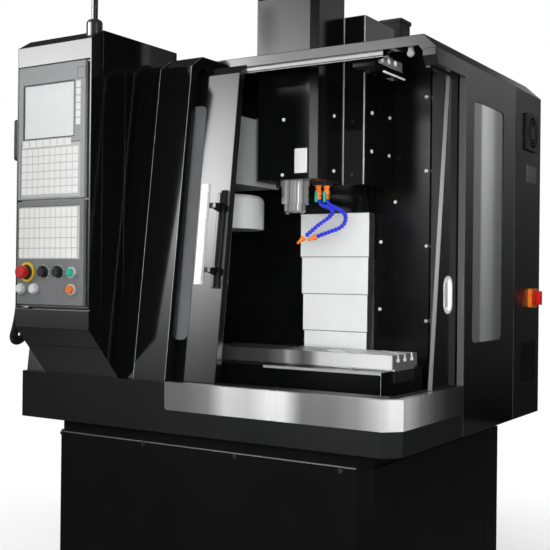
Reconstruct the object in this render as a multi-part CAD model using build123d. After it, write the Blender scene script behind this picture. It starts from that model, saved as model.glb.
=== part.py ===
from build123d import *
import math
import os

# Overall sizes, in millimetres. X runs to the machine's right, Y to its rear, Z up from the floor.
overall_width = 1370
skirt_depth = 1175
stand_height = 640
skirt_height = 151
hood_height = 1164
sheet = 3
seat_gap = 0.3
running_gap = 0.08
overrun = 5

# Stand
base_width = 1169
base_depth = 998
base_front_inset = 42
base_chamfer = 39
neck_height = 43
neck_inset = 6
cover_sheet = 3
base_seam_width = 3
base_seam_depth = 2
base_seam_places = (200, 919)

# Chip pan, door shelf and stainless sill trim
corner_chamfer = 41
half_corner_angle = 22.5
pan_wall = 5
pan_floor = 6
shelf_front_width = 98
shelf_side_width = 60
shelf_thickness = 6
trim_sheet = 1.5
trim_height = 82
trim_lip = 22
trim_left = 765
trim_corner = 10

# Leaning front
front_gap = 6
front_lean = 6.88
cheek_left = 896
cheek_right = 770
cheek_break = 1127
cheek_bevel_run = 55
cheek_depth = 35
shell_setback = 14
beam_front = 251

# Hood
hood_bevel = 46
rear_bevel = 30
beam_height = 31
beam_depth = 40
fascia_low = 1097
fascia_leg = 34
fascia_bend = 62
side_beam_bottom = 1072
side_beam_width = 40
side_beam_rear = 790
side_beam_front = 231
side_beam_slant = 19
rail_height = 17
rail_groove_drop = 12
rail_groove_width = 2
rail_groove_depth = 8
rail_depth = 26
rail_setback = 11
rail_end_gap = 40
rail_right = 179
rail_lip_right = 160
side_rail_width = 14
hood_opening_left = 800
head_opening_left = 760
head_opening_rear = 835
hood_opening_right = 386
hood_opening_front = 380
hood_opening_rear = 1112

# Right side
side_panel_front = 459
side_panel_rear = 904
side_flange = 21
panel_seam = 1
window_front = 528
window_rear = 790
window_low = 277
window_high = 1013
window_corner = 20
glass_thickness = 4
glass_lap = 10

# Rear side panel, fan, switch and louvres
fan_y = 1065
fan_z = 983
fan_size = 128
fan_corner = 8
fan_plate = 8
fan_bore = 53
fan_tunnel_wall = 5
fan_tunnel_depth = 42
fan_hub = 20
fan_spider = 9
fan_ring_width = 3
fan_ring_radii_shares = (0.42, 0.62, 0.82)
fan_spoke_width = 4
fan_blade_count = 7
fan_spoke_count = 4
fan_spoke_turn = 45
full_turn = 360
fan_blade_thickness = 2
fan_blade_pitch = 35
fan_blade_gap = 3
fan_spin_gap = 1
switch_y = 1083
switch_z = 407
switch_size = 66
switch_depth = 14
switch_knob_radius = 24
switch_knob_base = 9
switch_grip_width = 13
switch_grip_height = 15
switch_shaft_radius = 6
switch_shaft_depth = 6
louvre_front = 985
louvre_low = 116
louvre_width = 12
louvre_height = 141
louvre_pitch = 23
louvre_count = 7

# Inner back wall
back_wall_y = 805
back_wall_low = 66
guard_start = 266
guard_end = 62
guard_run = 194
slot_left = 737
slot_right = 473
slot_low = 140

# Front door
door_left = 1361
door_right = 619
door_setback = 47
door_thickness = 26
door_break = 1098
door_bevel_run = 38
door_bevel_rise = 30
door_bottom_gap = 0.4
window_right = 734
door_window_left = 1246
door_window_low = 276
door_window_high = 1005
door_window_corner = 22
door_glass_thickness = 5
hanger_width = 46
hanger_thickness = 10
hanger_places = (1250, 830)
handle_left = 685
handle_right = 659
handle_low = 447
handle_high = 748
handle_standoff = 60
handle_depth = 18
handle_corner = 5
arm_places = (490, 685)
arm_height = 15
strip_left = 661
strip_right = 638
strip_low = 436
strip_high = 725
strip_thickness = 3

# Side door
side_door_outer = 24
side_door_thickness = 14
side_door_front = 285
side_door_rear = 780
side_door_top = 1066
pull_y = 392
pull_z = 424
pull_width = 62
pull_height = 112
pull_depth = 9
pull_rim = 7
pull_lip = 1.5
pull_wall = 2

# Bed, saddle and table
spindle_x = 600
spindle_y = 470
bed_half_width = 225
bed_front = 245
bed_rear = 845
bed_height = 60
bed_end_wall = 20
way_centre = 160
way_width = 40
way_top = 79.7
way_front = 262
way_rear = 745
saddle_left = 890
saddle_right = 211
saddle_front = 340
saddle_rear = 640
saddle_bottom = 80
saddle_top = 187
saddle_corner = 6
keeper_width = 15
keeper_drop = 20
table_left = 905
table_right = 205
table_front = 402
table_rear = 580
table_top = 235
table_thickness = 43
table_guide_front = 420
table_guide_rear = 562
table_guide_bottom = 150
slot_pitch = 50
slot_count = 3
slot_width = 14
slot_neck = 13
slot_tee_width = 24
slot_tee_height = 10
screw_radius = 10
y_screw_z = 42
y_groove_half = 50
y_groove_floor = 20
y_nut_front = 480
nut_length = 40
y_nut_half = 40
y_nut_bottom = 24
x_screw_z = 116
x_groove_half = 17
x_groove_floor = 99
x_nut_left = 560
x_nut_half = 15
x_nut_bottom = 101
saddle_end_wall = 26
motor_size_y = 68
motor_length_y = 122
motor_size_x = 62
motor_length_x = 104
motor_corner = 6
motor_neck = 25
motor_step = 4

# Column and Z drive
column_half_width = 185
column_front = 850
column_rear = 1100
column_height = 1230
column_taper = 45
column_slot_half = 55
column_slot_depth = 50
column_slot_floor = 100
z_way_centre = 100
z_way_width = 40
z_way_height = 20
z_way_low = 130
z_screw_radius = 16
z_screw_y = 848
belt_box_height = 60
belt_box_lap = 12
belt_box_rear = 965
belt_box_front = 815
belt_box_right = 412
z_motor_size = 90
z_motor_height = 110

# Head
head_half_width = 119
head_front = 390
head_chamfer = 21
head_rear = 578
head_bottom = 787
head_top = 1400
body_top = 1340
head_top_bevel = 18
body_left = 745
body_right = 402
body_rear = 796
body_bottom = 781
apron_front = 745
apron_bottom = 698.5
apron_half_width = 132
apron_taper = 14
slide_half_width = 124
slide_top = 1150
slide_bottom = 700
z_nut_half = 40
z_nut_depth = 38
z_nut_low = 760
z_nut_height = 80

# Spindle
cartridge_radius = 46
cartridge_flange_radius = 50
cartridge_flange_height = 14
cartridge_bottom = 712
cartridge_groove = 3
cartridge_groove_places = (738, 764)
nose_radius = 36
nose_bottom = 685
nose_rim = 4
taper_mouth_radius = 22
taper_top_radius = 13
taper_depth = 62
nose_shaft_radius = 30
nose_shaft_length = 70
drive_key_width = 12
drive_key_height = 8
drive_key_depth = 6

# Telescopic Z cover
cover_x = 609
cover_half_width = 140.5
cover_front = 755
cover_rear = 794
cover_step = 4
cover_plate = 2
cover_lip_height = 10
cover_overlap = 32
cover_bottoms = (542.5, 410, 278)

# Coolant
hose_radius = 9
hose_nozzle_radius = 4
hose_nozzle_length = 26
valve_places = ((549, 536), (529, 556))
valve_body_radius = 8
valve_body_height = 46
valve_plate_height = 9
valve_plate_margin = 16
valve_stem_radius = 4
valve_stem_length = 5
lever_length = 34
lever_width = 9
lever_thickness = 4
hose_routes = (
    ((549, 536, 732), (543, 536, 716), (515, 532, 706), (492, 527, 698), (485, 520, 684), (494, 507, 666),
     (521, 485, 643), (556, 452, 599)),
    ((529, 556, 732), (523, 556, 717), (500, 555, 707), (470, 550, 694), (446, 540, 676), (440, 523, 650),
     (451, 506, 632), (475, 485, 621), (513, 456, 602)),
)

# Tool magazine
magazine_left = 1060
magazine_right = 760
magazine_front = 330
magazine_rear = 602
magazine_bottom = 777
magazine_top = 1005
magazine_lip = 12
magazine_arm_left = 960
magazine_arm_right = 860
magazine_arm_low = 880
magazine_arm_high = 1000
drum_x = 899
drum_y = 430
drum_radius = 170
drum_bottom = 631
drum_top = 746
drum_fillet = 24
drum_shaft_radius = 24
drum_bearing_height = 120

# Work light
light_left = 300
light_right = 220
light_front = 300
light_rear = 495
light_low = 1103
light_high = 1149
light_arm = 20

# Control cabinet
cabinet_left = 1262
cabinet_right = 949
cabinet_front = 135
frame_depth = 51
cabinet_chin = 305
cabinet_shoulder = 1182
cabinet_top = 1214
cabinet_rear = 273
side_seam_y = 13
side_seam_width = 4
side_seam_depth = 6
side_seam_low = 372
side_seam_high = 1118
chin_seam = 368
chin_seam_width = 5
recess_left = 1258
recess_right = 955
recess_low = 374
recess_high = 1121
recess_depth = 24
pocket_margin = 8
pocket_high = 508
panel_left = 1256
panel_right = 973
panel_thickness = 10
bezel_low = 704
bezel_high = 1118
operator_low = 378
operator_high = 698
panel_corner = 3
screen_left = 1232
screen_right = 1020
screen_low = 894
screen_high = 1059
screen_recess = 3
key_rise = 1.2
key_gap = 2.4
pad_left = 1240
pad_right = 998
pad_low = 718
pad_high = 862
pad_columns = 10
pad_rows = 6
soft_low = 865
soft_high = 889
soft_left = 1236
soft_right = 1028
soft_columns = 7
side_key_left = 1011
side_key_right = 990
side_key_low = 924
side_key_high = 1059
side_key_rows = 6
operator_pad_low = 521
operator_pad_high = 678
operator_pad_left = 1249
operator_pad_right = 999
operator_columns = 11
operator_rows = 5

# Controls on the operator panel
upper_row = 478
lower_row = 426
estop_x = 1209
knob_places = (1138, 1075)
start_x = 1018
power_places = (1233, 1176)
estop_radius = 20
estop_head = 16
estop_round_share = 0.25
estop_stem_radius = 10
estop_reach = 36
estop_collar_radius = 31
estop_collar_height = 5
knob_radius = 14
knob_skirt_radius = 17
knob_skirt_height = 4
knob_height = 18
knob_pointer_width = 8
button_radius = 13
button_collar_radius = 17
button_collar_height = 9
button_reach = 17
button_fillet = 2
button_guide_radius = 8
guide_depth = 16
control_gap = 0.3

# Signal tower
tower_x = 985
tower_y = 85
tower_base_radius = 25
tower_base_height = 36
tower_base_dome = 14
tower_pole_radius = 10
tower_pole_height = 116
lamp_radius = 22
lamp_height = 46
lamp_count = 3
lamp_groove = 2

# Hand pendant, its cord and gland
pendant_thickness = 36
pendant_front = 115
pendant_rear = 47
pendant_low = 834
pendant_high = 965
pendant_corner = 10
wheel_z = 915
wheel_radius = 24
wheel_thickness = 11
wheel_crank_radius = 4
wheel_crank_height = 9
wheel_crank_share = 0.72
pendant_relief_radius = 10.5
cord_radius = 14
gland_left = 1358
gland_right = 1320
gland_low = 462
gland_high = 494
gland_front = 4
gland_nut_radius = 14
gland_nut_height = 26
cord_route = (
    (1281, -87, 834), (1281, -87, 735), (1281, -88, 636), (1281, -90, 540), (1283, -92, 450),
    (1287, -94, 370), (1298, -96, 306), (1316, -94, 266), (1336, -62, 250), (1345, -22, 262),
    (1343, 12, 306), (1339, 24, 368), (1339, 24, 436),
)
cord_radius_share = 0.45

# Places worked out from the sizes above
x_right = overall_width / 2
x_left = -x_right
y_front = -base_depth / 2 - base_front_inset
y_rear = y_front + skirt_depth
z_sill = stand_height + skirt_height
z_roof = stand_height + hood_height
lean_slope = math.tan(math.radians(front_lean))


def at_x(from_right):
    return x_right - from_right


def at_y(from_front):
    return y_front + from_front


def at_z(above_skirt):
    return stand_height + above_skirt


def lean_y(z):
    return at_y(front_gap) + (z - z_sill) * lean_slope


def block(x0, x1, y0, y1, z0, z1):
    centre = Pos((x0 + x1) / 2, (y0 + y1) / 2, (z0 + z1) / 2)
    return centre * Box(abs(x1 - x0), abs(y1 - y0), abs(z1 - z0))


def prism(corners, along):
    face = Face(Wire.make_polygon([Vector(*corner) for corner in corners], close=True))
    return extrude(face, amount=Vector(*along).length, dir=along)


def prism_x(points, x0, x1):
    return prism([(x0, y, z) for y, z in points], (x1 - x0, 0, 0))


def prism_y(points, y0, y1):
    return prism([(x, y0, z) for x, z in points], (0, y1 - y0, 0))


def prism_z(points, z0, z1):
    return prism([(x, y, z0) for x, y in points], (0, 0, z1 - z0))


def rod(start, axis, radius, length):
    return extrude(Plane(origin=start, z_dir=axis) * Circle(radius), amount=length)


def round_edges(part, axis, radius):
    return fillet(part.edges().filter_by(axis), radius)


# An open path moved sideways, with mitred corners and its ends kept on their cutting lines
def offset_path(points, distance):
    normals = []
    for start, end in zip(points, points[1:]):
        length = math.dist(start, end)
        normals.append(((end[1] - start[1]) / length, (start[0] - end[0]) / length))
    moved = []
    for index, point in enumerate(points):
        before = normals[max(index - 1, 0)]
        after = normals[min(index, len(normals) - 1)]
        if index in (0, len(points) - 1):
            if abs(after[0]) > abs(after[1]):
                moved.append((point[0] + distance / after[0], point[1]))
            else:
                moved.append((point[0], point[1] + distance / after[1]))
        else:
            mitre = distance / (1 + before[0] * after[0] + before[1] * after[1])
            moved.append((point[0] + (before[0] + after[0]) * mitre,
                          point[1] + (before[1] + after[1]) * mitre))
    return moved


def strip(points, near, far):
    return offset_path(points, near) + offset_path(points, far)[::-1]


def front_path():
    break_z = at_z(cheek_break)
    break_y = lean_y(break_z)
    return [
        (lean_y(z_sill), z_sill),
        (break_y, break_z),
        (break_y + cheek_bevel_run, z_roof),
        (at_y(beam_front), z_roof),
    ]


def base_outline(inset):
    half = base_width / 2 - inset
    front = -base_depth / 2 + inset
    rear = base_depth / 2 - inset
    return [
        (-half, rear), (-half, front + base_chamfer), (-half + base_chamfer, front),
        (half - base_chamfer, front), (half, front + base_chamfer), (half, rear),
    ]


def base_cabinet():
    shoulder = stand_height - neck_height - cover_sheet
    front = -base_depth / 2
    flat_half = base_width / 2 - base_chamfer
    body = prism_z(base_outline(0), 0, shoulder) + prism_z(base_outline(neck_inset), shoulder, stand_height)
    body -= block(-flat_half, flat_half, front - overrun, front + cover_sheet, -overrun, shoulder)
    for side in (-1, 1):
        face = side * base_width / 2
        for place in base_seam_places:
            inner = face - side * base_seam_depth
            outer = face + side * overrun
            body -= block(inner, outer, at_y(place), at_y(place) + base_seam_width, -overrun,
                          shoulder + overrun)
    return body


def base_front_cover():
    front = -base_depth / 2
    flat_half = base_width / 2 - base_chamfer
    top = stand_height - neck_height
    plate = block(-flat_half, flat_half, front, front + cover_sheet, 0, top)
    lip = block(-flat_half, flat_half, front, front + neck_inset, top - cover_sheet, top)
    return plate + lip


def chip_pan():
    inside_right = x_right - sheet - pan_wall
    corner_gain = pan_wall * math.tan(math.radians(half_corner_angle))
    inside_chamfer = corner_chamfer - sheet - pan_wall + corner_gain
    outer = prism_z([
        (x_left, y_front), (x_right - corner_chamfer, y_front), (x_right, y_front + corner_chamfer),
        (x_right, at_y(side_panel_front)), (x_right - sheet, at_y(side_panel_front)),
        (x_right - sheet, y_rear), (x_left, y_rear),
    ], stand_height, z_sill)
    inner_outline = [
        (x_left + pan_wall, y_front + pan_wall), (inside_right - inside_chamfer, y_front + pan_wall),
        (inside_right, y_front + pan_wall + inside_chamfer),
        (inside_right, y_rear - pan_wall), (x_left + pan_wall, y_rear - pan_wall),
    ]
    hollow = prism_z(inner_outline, at_z(pan_floor), z_sill + overrun)
    shelf_low = z_sill - shelf_thickness
    front_shelf = block(x_left, x_right, y_front, at_y(shelf_front_width), shelf_low, z_sill)
    side_shelf = block(at_x(shelf_side_width), x_right, y_front, at_y(side_door_rear + overrun),
                       shelf_low, z_sill)
    shelf = (front_shelf + side_shelf) & prism_z(inner_outline, shelf_low, z_sill)
    gap = seat_gap
    bed_left = at_x(spindle_x + bed_half_width) - gap
    bed_right = at_x(spindle_x - bed_half_width) + gap
    opening = block(bed_left, bed_right, at_y(bed_front) - gap, at_y(column_rear) + gap,
                    stand_height - overrun, at_z(pan_floor) + overrun)
    return outer - hollow + shelf - opening


def trim_path():
    return [
        (at_x(trim_left), y_front), (x_right - corner_chamfer, y_front),
        (x_right, y_front + corner_chamfer), (x_right, at_y(side_panel_front)),
    ]


def sill_trim():
    low = z_sill - trim_height
    face = prism_z(strip(trim_path(), 0, trim_sheet), low, z_sill)
    lip = prism_z(strip(trim_path(), -trim_lip, trim_sheet), z_sill, z_sill + trim_sheet)
    trim = face + lip
    left_low = trim.edges().filter_by(Axis.Y).group_by(Axis.Z)[0].sort_by(Axis.X)[0]
    right_low = trim.edges().filter_by(Axis.X).group_by(Axis.Z)[0].sort_by(Axis.Y)[-1]
    return fillet([left_low, right_low], trim_corner)


def front_cheek_panel():
    left = at_x(cheek_left)
    right = at_x(cheek_right)
    path = front_path()
    face = prism_x(strip(path, 0, sheet), left, right)
    right_return = prism_x(strip(path, 0, cheek_depth), right - sheet, right)
    left_return = prism_x(strip(path, 0, shell_setback), left, left + sheet)
    return face + right_return + left_return


def shell_outline():
    front = offset_path(front_path(), shell_setback)
    under_roof = z_roof - sheet
    wall_bevel = rear_bevel + 2 * sheet
    wall_drop = hood_bevel + 2 * sheet
    return front + [
        (at_y(beam_front), under_roof), (y_rear - wall_bevel, under_roof),
        (y_rear, under_roof - wall_drop), (y_rear, z_sill),
    ]


def enclosure_shell():
    left_wall = prism_x(shell_outline(), x_left, x_left + sheet)
    inner_right = at_x(cheek_right) - sheet - panel_seam
    front_wall = prism_x(strip(front_path(), shell_setback, shell_setback + sheet), x_left, inner_right)
    rear_top = z_roof - sheet - hood_bevel
    rear_wall = block(x_left, x_right - sheet, y_rear - sheet, y_rear, z_sill, rear_top)
    return left_wall + front_wall + rear_wall


def back_wall():
    wall_y = at_y(back_wall_y)
    bend_x = at_x(guard_start)
    path = [(x_left + pan_wall, wall_y), (bend_x, wall_y), (at_x(guard_end), wall_y - guard_run)]
    wall = prism_z(strip(path, 0, -sheet), at_z(back_wall_low), z_roof - sheet)
    opening = block(at_x(slot_left), at_x(slot_right), wall_y - overrun, wall_y + sheet + overrun,
                    at_z(slot_low), z_roof)
    return wall - opening


def roof_hood():
    front = at_y(beam_front)
    low = z_roof - hood_bevel
    across = prism_y([(x_left, low), (x_left, z_roof), (x_right - hood_bevel, z_roof), (x_right, low)],
                     front, y_rear)
    along = prism_x([(front, low), (front, z_roof), (y_rear - rear_bevel, z_roof), (y_rear, low)],
                    x_left, x_right)
    drop = sheet * math.sqrt(2)
    inner_across = prism_y([
        (x_left - overrun, low - overrun), (x_left - overrun, z_roof - sheet),
        (x_right - hood_bevel - drop + sheet, z_roof - sheet),
        (x_right - drop, low), (x_right - drop, low - overrun),
    ], front - overrun, y_rear + overrun)
    inner_along = prism_x([
        (front - overrun, low - overrun), (front - overrun, z_roof - sheet),
        (y_rear - rear_bevel - drop + sheet, z_roof - sheet), (y_rear - drop, low),
        (y_rear - drop, low - overrun),
    ], x_left - overrun, x_right + overrun)
    roof = (across & along) - (inner_across & inner_along)
    roof -= block(at_x(head_opening_left), at_x(hood_opening_right), at_y(hood_opening_front),
                  at_y(head_opening_rear), z_roof - overrun, z_roof + overrun)
    roof -= block(at_x(hood_opening_left), at_x(hood_opening_right), at_y(head_opening_rear),
                  at_y(hood_opening_rear), z_roof - overrun, z_roof + overrun)
    fascia_outline = [
        (at_x(cheek_right), z_roof), (x_right - hood_bevel, z_roof), (x_right, low),
        (x_right, at_z(fascia_low)), (at_x(fascia_leg), at_z(fascia_low)),
        (at_x(fascia_bend), z_roof - beam_height), (at_x(cheek_right), z_roof - beam_height),
    ]
    fascia = prism_y(fascia_outline, front, front + beam_depth)
    side_beam_top = low
    slant_front = at_y(side_beam_front + side_beam_slant)
    side_beam = prism_x([
        (at_y(side_beam_front), side_beam_top), (at_y(side_beam_front), at_z(fascia_low)),
        (slant_front, at_z(side_beam_bottom)), (at_y(side_panel_front), at_z(side_beam_bottom)),
        (at_y(side_panel_front), side_beam_top),
    ], at_x(side_beam_width), x_right)
    side_beam += block(at_x(side_beam_width), x_right - sheet, at_y(side_panel_front), at_y(side_beam_rear),
                       at_z(side_beam_bottom), side_beam_top)
    rail_top = z_roof - beam_height
    rail_front = front + rail_setback
    rail_rear = rail_front + rail_depth
    door_rail = block(x_left + rail_end_gap, at_x(rail_right), rail_front, rail_rear,
                      rail_top - rail_height, rail_top)
    door_rail += block(x_left + rail_end_gap, at_x(cheek_right), rail_front, rail_rear, rail_top,
                       z_roof - sheet)
    groove_top = rail_top - rail_groove_drop
    groove_low = groove_top - rail_groove_width
    door_rail -= block(x_left, at_x(rail_right) + overrun, rail_front - overrun,
                       rail_front + rail_groove_depth, groove_low, groove_top)
    door_rail += block(at_x(rail_right) - overrun, at_x(rail_lip_right), rail_front, rail_rear,
                       rail_top - rail_height, groove_low)
    rail_mid = at_x(side_door_outer + side_door_thickness / 2)
    side_rail = block(rail_mid - side_rail_width / 2, rail_mid + side_rail_width / 2,
                      slant_front, at_y(side_beam_rear),
                      at_z(side_door_top) + control_gap, at_z(side_beam_bottom))
    return roof + fascia + side_beam + door_rail + side_rail


def right_side_panel():
    top = z_roof - hood_bevel
    front = at_y(side_panel_front)
    panel = block(x_right - sheet, x_right, front, at_y(side_panel_rear), stand_height, top)
    flange = block(at_x(side_flange), x_right, front, front + sheet, z_sill + trim_sheet,
                   at_z(side_beam_bottom))
    window = block(x_right - overrun, x_right + overrun, at_y(window_front), at_y(window_rear),
                   at_z(window_low), at_z(window_high))
    return panel + flange - round_edges(window, Axis.X, window_corner)


def side_window():
    lap = glass_lap
    pane = block(x_right - sheet - glass_thickness, x_right - sheet, at_y(window_front) - lap,
                 at_y(window_rear) + lap, at_z(window_low) - lap, at_z(window_high) + lap)
    return round_edges(pane, Axis.X, window_corner)


def rear_side_panel():
    top = z_roof - hood_bevel
    front = at_y(side_panel_rear) + panel_seam
    panel = block(x_right - sheet, x_right, front, y_rear, stand_height, top)
    panel -= rod((x_right - overrun, at_y(fan_y), at_z(fan_z)), (1, 0, 0),
                 fan_bore + fan_tunnel_wall + seat_gap, 2 * overrun)
    panel -= rod((x_right - overrun, at_y(switch_y), at_z(switch_z)), (1, 0, 0),
                 switch_shaft_radius + control_gap, 2 * overrun)
    for index in range(louvre_count):
        start = at_y(louvre_front) + index * louvre_pitch
        slot = block(x_right - overrun, x_right + overrun, start, start + louvre_width,
                     at_z(louvre_low), at_z(louvre_low + louvre_height))
        panel -= round_edges(slot, Axis.X, louvre_width / 2 - seat_gap)
    return panel


def fan_guard():
    centre = (x_right, at_y(fan_y), at_z(fan_z))
    half = fan_size / 2
    plate = block(x_right, x_right + fan_plate, centre[1] - half, centre[1] + half, centre[2] - half,
                  centre[2] + half)
    plate = round_edges(plate, Axis.X, fan_corner)
    inner_end = (x_right - fan_tunnel_depth, centre[1], centre[2])
    tunnel = rod(inner_end, (1, 0, 0), fan_bore + fan_tunnel_wall, fan_tunnel_depth)
    frame = plate + tunnel - rod(inner_end, (1, 0, 0), fan_bore, fan_tunnel_depth + fan_plate + overrun)
    spider = rod(inner_end, (1, 0, 0), fan_hub, fan_spider)
    outer_hub = rod((x_right + fan_plate - fan_ring_width, centre[1], centre[2]), (1, 0, 0), fan_hub,
                    fan_ring_width)
    frame += spider + outer_hub
    for share in fan_ring_radii_shares:
        middle = fan_bore * share
        start = (x_right + fan_plate - fan_ring_width, centre[1], centre[2])
        ring = rod(start, (1, 0, 0), middle + fan_ring_width / 2, fan_ring_width)
        frame += ring - rod(start, (1, 0, 0), middle - fan_ring_width / 2, fan_ring_width)
    for index in range(fan_spoke_count):
        spoke_reach = fan_bore + fan_tunnel_wall / 2
        bar = block(x_right + fan_plate - fan_ring_width, x_right + fan_plate, -fan_spoke_width / 2,
                    fan_spoke_width / 2, 0, spoke_reach)
        back = block(x_right - fan_tunnel_depth, x_right - fan_tunnel_depth + fan_spider,
                     -fan_spoke_width / 2,
                     fan_spoke_width / 2, 0, spoke_reach)
        turn = Pos(0, centre[1], centre[2]) * Rot(fan_spoke_turn * (2 * index + 1), 0, 0)
        frame += turn * bar + turn * back
    return frame


def fan_rotor():
    start_x = x_right - fan_tunnel_depth + fan_spider + seat_gap
    end_x = x_right + fan_plate - fan_ring_width - fan_spin_gap
    hub = rod((start_x, 0, 0), (1, 0, 0), fan_hub, end_x - start_x)
    mid_x = (start_x + end_x) / 2
    blade_reach = (end_x - start_x) / math.cos(math.radians(fan_blade_pitch))
    blade_chord = blade_reach - fan_blade_thickness - 2 * fan_blade_gap
    rotor = hub
    for index in range(fan_blade_count):
        length = fan_bore - fan_blade_gap - fan_hub / 2
        flat_blade = Box(blade_chord, fan_blade_thickness, length)
        blade = Pos(0, 0, fan_hub / 2 + length / 2) * (Rot(0, 0, fan_blade_pitch) * flat_blade)
        rotor += Rot(full_turn * index / fan_blade_count, 0, 0) * (Pos(mid_x, 0, 0) * blade)
    limit = rod((start_x, 0, 0), (1, 0, 0), fan_bore - fan_blade_gap, end_x - start_x)
    return Pos(0, at_y(fan_y), at_z(fan_z)) * (rotor & limit)


def switch_plate():
    half = switch_size / 2
    y = at_y(switch_y)
    z = at_z(switch_z)
    plate = block(x_right, x_right + switch_depth, y - half, y + half, z - half, z + half)
    plate = round_edges(plate, Axis.X, fan_corner)
    return plate - rod((x_right - overrun, y, z), (1, 0, 0), switch_shaft_radius + running_gap,
                       switch_depth + 2 * overrun)


def main_switch_handle():
    y = at_y(switch_y)
    z = at_z(switch_z)
    face = x_right + switch_depth + seat_gap
    base = rod((face, y, z), (1, 0, 0), switch_knob_radius, switch_knob_base)
    grip_reach = switch_knob_radius
    grip = block(face, face + switch_knob_base + switch_grip_height, y - switch_grip_width / 2,
                 y + switch_grip_width / 2, z - grip_reach, z + grip_reach)
    grip &= rod((face, y, z), (1, 0, 0), switch_knob_radius, switch_knob_base + switch_grip_height)
    shaft_start = x_right - switch_shaft_depth
    shaft = rod((shaft_start, y, z), (1, 0, 0), switch_shaft_radius, face - shaft_start)
    return base + grip + shaft


def door_path():
    bottom = z_sill + door_bottom_gap
    break_z = at_z(door_break)
    break_y = lean_y(break_z) + door_setback
    return [
        (lean_y(bottom) + door_setback, bottom), (break_y, break_z),
        (break_y + door_bevel_run, break_z + door_bevel_rise),
    ]


def leaning_plate(x0, x1, low, high, near, far):
    path = [(lean_y(at_z(low)), at_z(low)), (lean_y(at_z(high)), at_z(high))]
    return prism_x(strip(path, near, far), x0, x1)


def front_door():
    door = prism_x(strip(door_path(), 0, door_thickness), at_x(door_left), at_x(door_right))
    lean_scale = math.cos(math.radians(front_lean))
    face = door_setback * lean_scale
    window = leaning_plate(at_x(door_window_left), at_x(window_right), door_window_low, door_window_high,
                           face - overrun, face + door_thickness + overrun)
    side_edges = window.edges().filter_by(lambda edge: edge.length < door_thickness + 3 * overrun)
    window = fillet(side_edges.filter_by(lambda edge: abs((edge @ 0).X - (edge @ 1).X) < seat_gap),
                    door_window_corner)
    door -= window
    rail_low = z_roof - beam_height - rail_height
    for place in hanger_places:
        start = at_x(place)
        tongue = block(start, start + hanger_width, door_path()[1][0] + door_bevel_run,
                       at_y(beam_front + rail_setback + rail_depth), rail_low - seat_gap - hanger_thickness,
                       rail_low - seat_gap)
        door += tongue
    door += leaning_plate(at_x(strip_left), at_x(strip_right), strip_low, strip_high,
                          face - strip_thickness, face)
    for place in arm_places:
        door += leaning_plate(at_x(handle_left) + handle_corner, at_x(strip_right),
                              place - arm_height / 2, place + arm_height / 2,
                              face - handle_standoff + handle_depth, face - strip_thickness)
    return door


def handle_bar():
    face = door_setback * math.cos(math.radians(front_lean))
    bar = leaning_plate(at_x(handle_left), at_x(handle_right), handle_low, handle_high,
                        face - handle_standoff, face - handle_standoff + handle_depth)
    long_edges = bar.edges().filter_by(lambda edge: edge.length > (handle_high - handle_low) / 2)
    return fillet(long_edges, handle_corner)


def front_door_window():
    face = door_setback * math.cos(math.radians(front_lean))
    middle = face + door_thickness / 2
    pane = leaning_plate(at_x(door_window_left), at_x(window_right), door_window_low, door_window_high,
                         middle - door_glass_thickness / 2, middle + door_glass_thickness / 2)
    side_edges = pane.edges().filter_by(lambda edge: edge.length < door_thickness)
    return fillet(side_edges.filter_by(lambda edge: abs((edge @ 0).X - (edge @ 1).X) < seat_gap),
                  door_window_corner)


def pull_outline(inset):
    width = pull_width - 2 * inset
    height = pull_height - 2 * inset
    plane = Plane(origin=(at_x(side_door_outer), at_y(pull_y), at_z(pull_z)), x_dir=(0, 0, 1),
                  z_dir=(1, 0, 0))
    return plane * SlotOverall(height, width)


def side_door():
    low = z_sill + door_bottom_gap
    high = at_z(side_door_top)
    front_low = at_y(side_door_front)
    front_high = front_low + (high - low) * lean_slope
    outer = at_x(side_door_outer)
    leaf = prism_x([(front_low, low), (front_high, high), (at_y(side_door_rear), high),
                    (at_y(side_door_rear), low)],
                   outer - side_door_thickness, outer)
    return leaf - extrude(pull_outline(pull_lip), amount=-side_door_thickness - overrun)


def side_door_pull():
    rim = extrude(pull_outline(0), amount=pull_lip)
    cup = extrude(pull_outline(pull_lip), amount=-pull_depth)
    hollow = extrude(pull_outline(pull_rim), amount=pull_lip) + extrude(pull_outline(pull_rim),
                                                                        amount=pull_wall - pull_depth)
    return rim + cup - hollow


def bed_casting():
    centre = at_x(spindle_x)
    top = at_z(bed_height)
    front = at_y(bed_front)
    rear = at_y(bed_rear)
    bed = block(centre - bed_half_width, centre + bed_half_width, front, rear, stand_height, top)
    bed -= block(centre - y_groove_half, centre + y_groove_half, front + bed_end_wall, rear - bed_end_wall,
                 at_z(y_groove_floor), top + overrun)
    bed -= rod((centre, front - overrun, at_z(y_screw_z)), (0, 1, 0), screw_radius + running_gap,
               bed_end_wall + 2 * overrun)
    for side in (-1, 1):
        middle = centre + side * way_centre
        bed += block(middle - way_width / 2, middle + way_width / 2, at_y(way_front), at_y(way_rear),
                     top, at_z(way_top))
    return bed


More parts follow.
